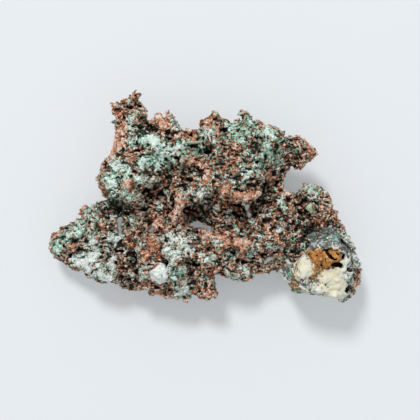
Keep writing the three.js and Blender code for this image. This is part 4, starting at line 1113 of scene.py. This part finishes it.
def quartz_finish():
    """Milky quartz with a grey platy shell, rusty stains and green specks, and painted shade in its hollows.
    """
    finish = Finish("stained quartz")
    here = finish.here
    rust, grey, cream, green = (finish.knows(name) for name in QUARTZ_MARKS)
    air, dip = finish.knows("open"), finish.knows("dip")
    cloud = finish.noise(here, 2.6 * MM, 4, 0.6)
    speckle = finish.noise(here, 0.8 * MM, 4, 0.65)
    fine = finish.noise(here, 0.4 * MM, 2)
    ragged = finish.shaken(here, 0.9 * MM, 0.8 * MM)
    middle, shade, luck, odd = finish.crystals(ragged, 0.6 * MM)
    colour = finish.mix(cloud.ramp(0.35, 0.65), paint(232, 232, 222), paint(208, 207, 192))
    colour = finish.mix(cream * cloud.ramp(0.3, 0.55), colour, paint(246, 236, 196))
    colour = finish.mix((fine * 0.5 + cloud * 0.7).ramp(0.66, 0.8) * 0.6, colour, paint(196, 190, 166))

    place = finish.shaken(here, 2 * MM, 1.6 * MM)
    _, _, height = finish.parts(place)
    bands = (shell_radius(finish, place) + height * 0.5).fold(PLATE) / PLATE
    slates = (0.1, paint(54, 60, 58)), (0.4, paint(112, 122, 118)), (0.65, paint(160, 170, 168))
    plate = finish.shades(bands * 0.5 + shade * 0.5, *slates, (0.9, paint(222, 230, 228)))
    plate = finish.mix((luck + odd * 0.4).ramp(1.0, 1.1), plate, paint(110, 82, 66))
    worn = (grey * 1.3 + luck * 0.5 - 0.95 + (cloud - 0.5) * 1.2).ramp(-0.05, 0.1)
    colour = finish.mix(worn, colour, plate)
    rusts = (0.2, paint(110, 70, 34)), (0.5, paint(176, 126, 70)), (0.8, paint(222, 184, 128))
    ochre = finish.shades(speckle * 0.6 + shade * 0.4, *rusts)
    stain = (rust * 1.3 + (cloud - 0.5) * 1.6 + luck * 0.35 - 0.95).ramp(0.0, 0.2)
    colour = finish.mix(stain, colour, ochre)
    crumbs = (luck * 0.7 + grey * 0.42 + rust * 0.3 + (cloud - 0.5) * 1.0).ramp(0.8, 0.84)
    colour = finish.mix(crumbs * 0.8, colour, paint(88, 76, 54))
    moss = (green * 0.7 + odd * 0.5 + (cloud - 0.5) * 0.6).ramp(0.78, 0.84)
    colour = finish.mix(moss, colour, jade_shades(finish, shade * 0.6 + 0.4))
    # Painted shade: near black where the surface is closed in or dips.
    hollow = ((0.6 - air).ramp(0.0, 0.4) + dip * 2.2 * (0.4 + grey)).ramp(0.25, 1.0)
    colour = finish.mix(hollow, colour, paint(26, 20, 14))
    bump = finish.bump(speckle * 0.5 + cloud * 0.5 + bands * grey * 0.8 - middle * 0.4 * worn, 0.5 * MM)
    return finish.close(colour, 0.5 + worn * 0.3, 0.0, bump)


def limonite_finish():
    """Rusty brown, with painted shade darkening its pits."""
    finish = Finish("rusty limonite")
    here = finish.here
    air, dip = finish.knows("open"), finish.knows("dip")
    cloud = finish.noise(here, 2.0 * MM, 3, 0.6)
    speckle = finish.noise(here, 0.6 * MM, 3, 0.6)
    middle, shade, _, _ = finish.crystals(finish.shaken(here, 0.8 * MM, 0.6 * MM), 0.6 * MM)
    # Dips lower the tone: painted shade.
    light = cloud * 0.45 + speckle * 0.3 + shade * 0.25 - dip * 1.0
    rusts = (0.2, paint(96, 54, 20)), (0.4, paint(160, 104, 50)), (0.58, paint(202, 142, 76))
    colour = finish.shades(light, *rusts, (0.82, paint(240, 198, 132)))
    # Painted shade: near black where the surface is closed in or dips.
    hollow = ((0.6 - air).ramp(0.0, 0.4) + dip * 2.2).ramp(0.15, 0.9)
    colour = finish.mix(hollow, colour, paint(34, 16, 6))
    return finish.close(colour, 0.9, 0.0, finish.bump(speckle + cloud * 0.5 - middle * 0.3, 0.4 * MM))


def pale_finish(name, light, shade, green):
    """A pale mineral grain with a little green on it, and painted shade in its dips."""
    finish = Finish(name)
    here = finish.here
    cloud = finish.noise(here, 1.6 * MM, 3, 0.6)
    speckle = finish.noise(here, 0.5 * MM, 3, 0.6)
    dip = finish.knows("dip")
    # Cloud noise and dips mix towards the shade colour; in the dips it is painted shade.
    colour = finish.mix((cloud + dip * 1.0).ramp(0.4, 0.7), light, shade)
    colour = finish.mix((speckle * 0.7 + cloud * 0.5).ramp(0.68, 0.76), colour, green)
    return finish.close(colour, 0.5, 0.0, finish.bump(speckle, 0.25 * MM))


def make_minerals():
    """The four mineral masses, each in its pocket."""
    quartz = make_stone(
        "quartz_mass", "quartz_lump", quartz_finish(), QUARTZ_KNOBS, QUARTZ_PITS, 0.3, 150000,
        Block=1.6, Break=0.7, Grit=0.35, Swell=0.1, Plates=1.1,
    )
    for name, spots in QUARTZ_MARKS.items():
        mark(quartz, name, spots)
    dress(quartz, "quartz_lump")

    limonite = make_stone(
        "limonite_mass", "limonite_nodule", limonite_finish(), LIMONITE_KNOBS, LIMONITE_PITS, 0.22, 50000,
        Block=0.5, Break=0.8, Grit=0.5, Swell=-0.2, Plates=0,
    )
    dress(limonite, "limonite_nodule")

    white = pale_finish("white calcite", paint(246, 249, 246), paint(206, 218, 208), paint(140, 190, 168))
    calcite = make_stone(
        "calcite_knob", "calcite_grain", white, [[[-14, -22.8, 18, 1.8], [-12.8, -21.4, 18, 1.4]]],
        [[-12.6, -22.8, -12.2, -24.4, 0.15, 19]], 0.24, 16000,
        Block=1.1, Break=0.8, Grit=0.2, Swell=0.5, Plates=0,
    )
    dress(calcite, "calcite_grain")

    pale = pale_finish("pale green crystal", paint(190, 206, 170), paint(136, 158, 120), paint(96, 132, 100))
    crystal = make_stone(
        "pale_crystal", "chrysocolla_grain", pale, [[[31.2, -3.2, 15.6, 0.8], [31.8, -4.6, 15.4, 0.6]]],
        [[30.4, -4.6, 30.4, -4.7, 0.1, 17]], 0.2, 9000,
        Block=0.9, Break=0.6, Grit=0.15, Swell=-0.1, Plates=0,
    )
    dress(crystal, "chrysocolla_grain")


# ---------------------------------------- putting the nugget together


def dress(piece, node, smooth=True):
    """Rides a finished piece on the nugget, in place of its CAD node if it has one."""
    piece.data.polygons.foreach_set("use_smooth", [smooth] * len(piece.data.polygons))
    if node:
        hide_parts(node)
    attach(piece, "root")


def make_nugget():
    """The copper, the crystals on it and the minerals in it."""
    copper = make_copper(copper_finish())
    dress(copper, "native_copper")
    make_crystals(copper)
    make_minerals()


# ---------------------------------------- the stage


def make_floor():
    """A wide, pale floor at height 0."""
    half = 1.5  # metres
    mesh = bpy.data.meshes.new("floor")
    corners = [(-half, -half, 0), (half, -half, 0), (half, half, 0), (-half, half, 0)]
    mesh.from_pydata(corners, [], [(0, 1, 2, 3)])
    floor = new_piece("floor", mesh)
    material = bpy.data.materials.new("pale paper")
    material.use_nodes = True
    paper = material.node_tree.nodes["Principled BSDF"]
    paper.inputs["Base Color"].default_value = (0.62, 0.64, 0.66, 1)
    paper.inputs["Roughness"].default_value = 0.9
    paper.inputs["Specular IOR Level"].default_value = 0.0
    paper.inputs["Emission Color"].default_value = (0.92, 0.97, 1.0, 1)
    paper.inputs["Emission Strength"].default_value = 0.22
    mesh.materials.append(material)


def make_lights():
    """A broad lamp high over one side, and the pale light of the room."""
    light = bpy.data.lights.new("key", "AREA")
    light.shape = "DISK"
    light.size = 0.7
    light.energy = 50
    lamp = new_piece("key", light)
    lamp.location = Vector((-0.7, 1.75, 2.3))
    lamp.rotation_euler = (-lamp.location).to_track_quat("-Z", "Y").to_euler()

    world = bpy.data.worlds.new("pale studio")
    world.use_nodes = True
    sky = world.node_tree.nodes["Background"]
    sky.inputs["Color"].default_value = (0.97, 0.985, 1.0, 1)
    sky.inputs["Strength"].default_value = 0.56
    bpy.context.scene.world = world


def make_camera():
    """A camera straight above the nugget."""
    data = bpy.data.cameras.new("camera")
    data.lens = 85
    data.sensor_width = 36
    data.clip_start = 0.01
    camera = new_piece("camera", data)
    view_width = 126 * MM
    subject_height = 12 * MM
    camera.location = (1.5 * MM, -3.9 * MM, view_width * data.lens / data.sensor_width + subject_height)
    bpy.context.scene.camera = camera


make_nugget()
make_floor()
make_lights()
make_camera()
bpy.context.scene.view_settings.view_transform = "Standard"
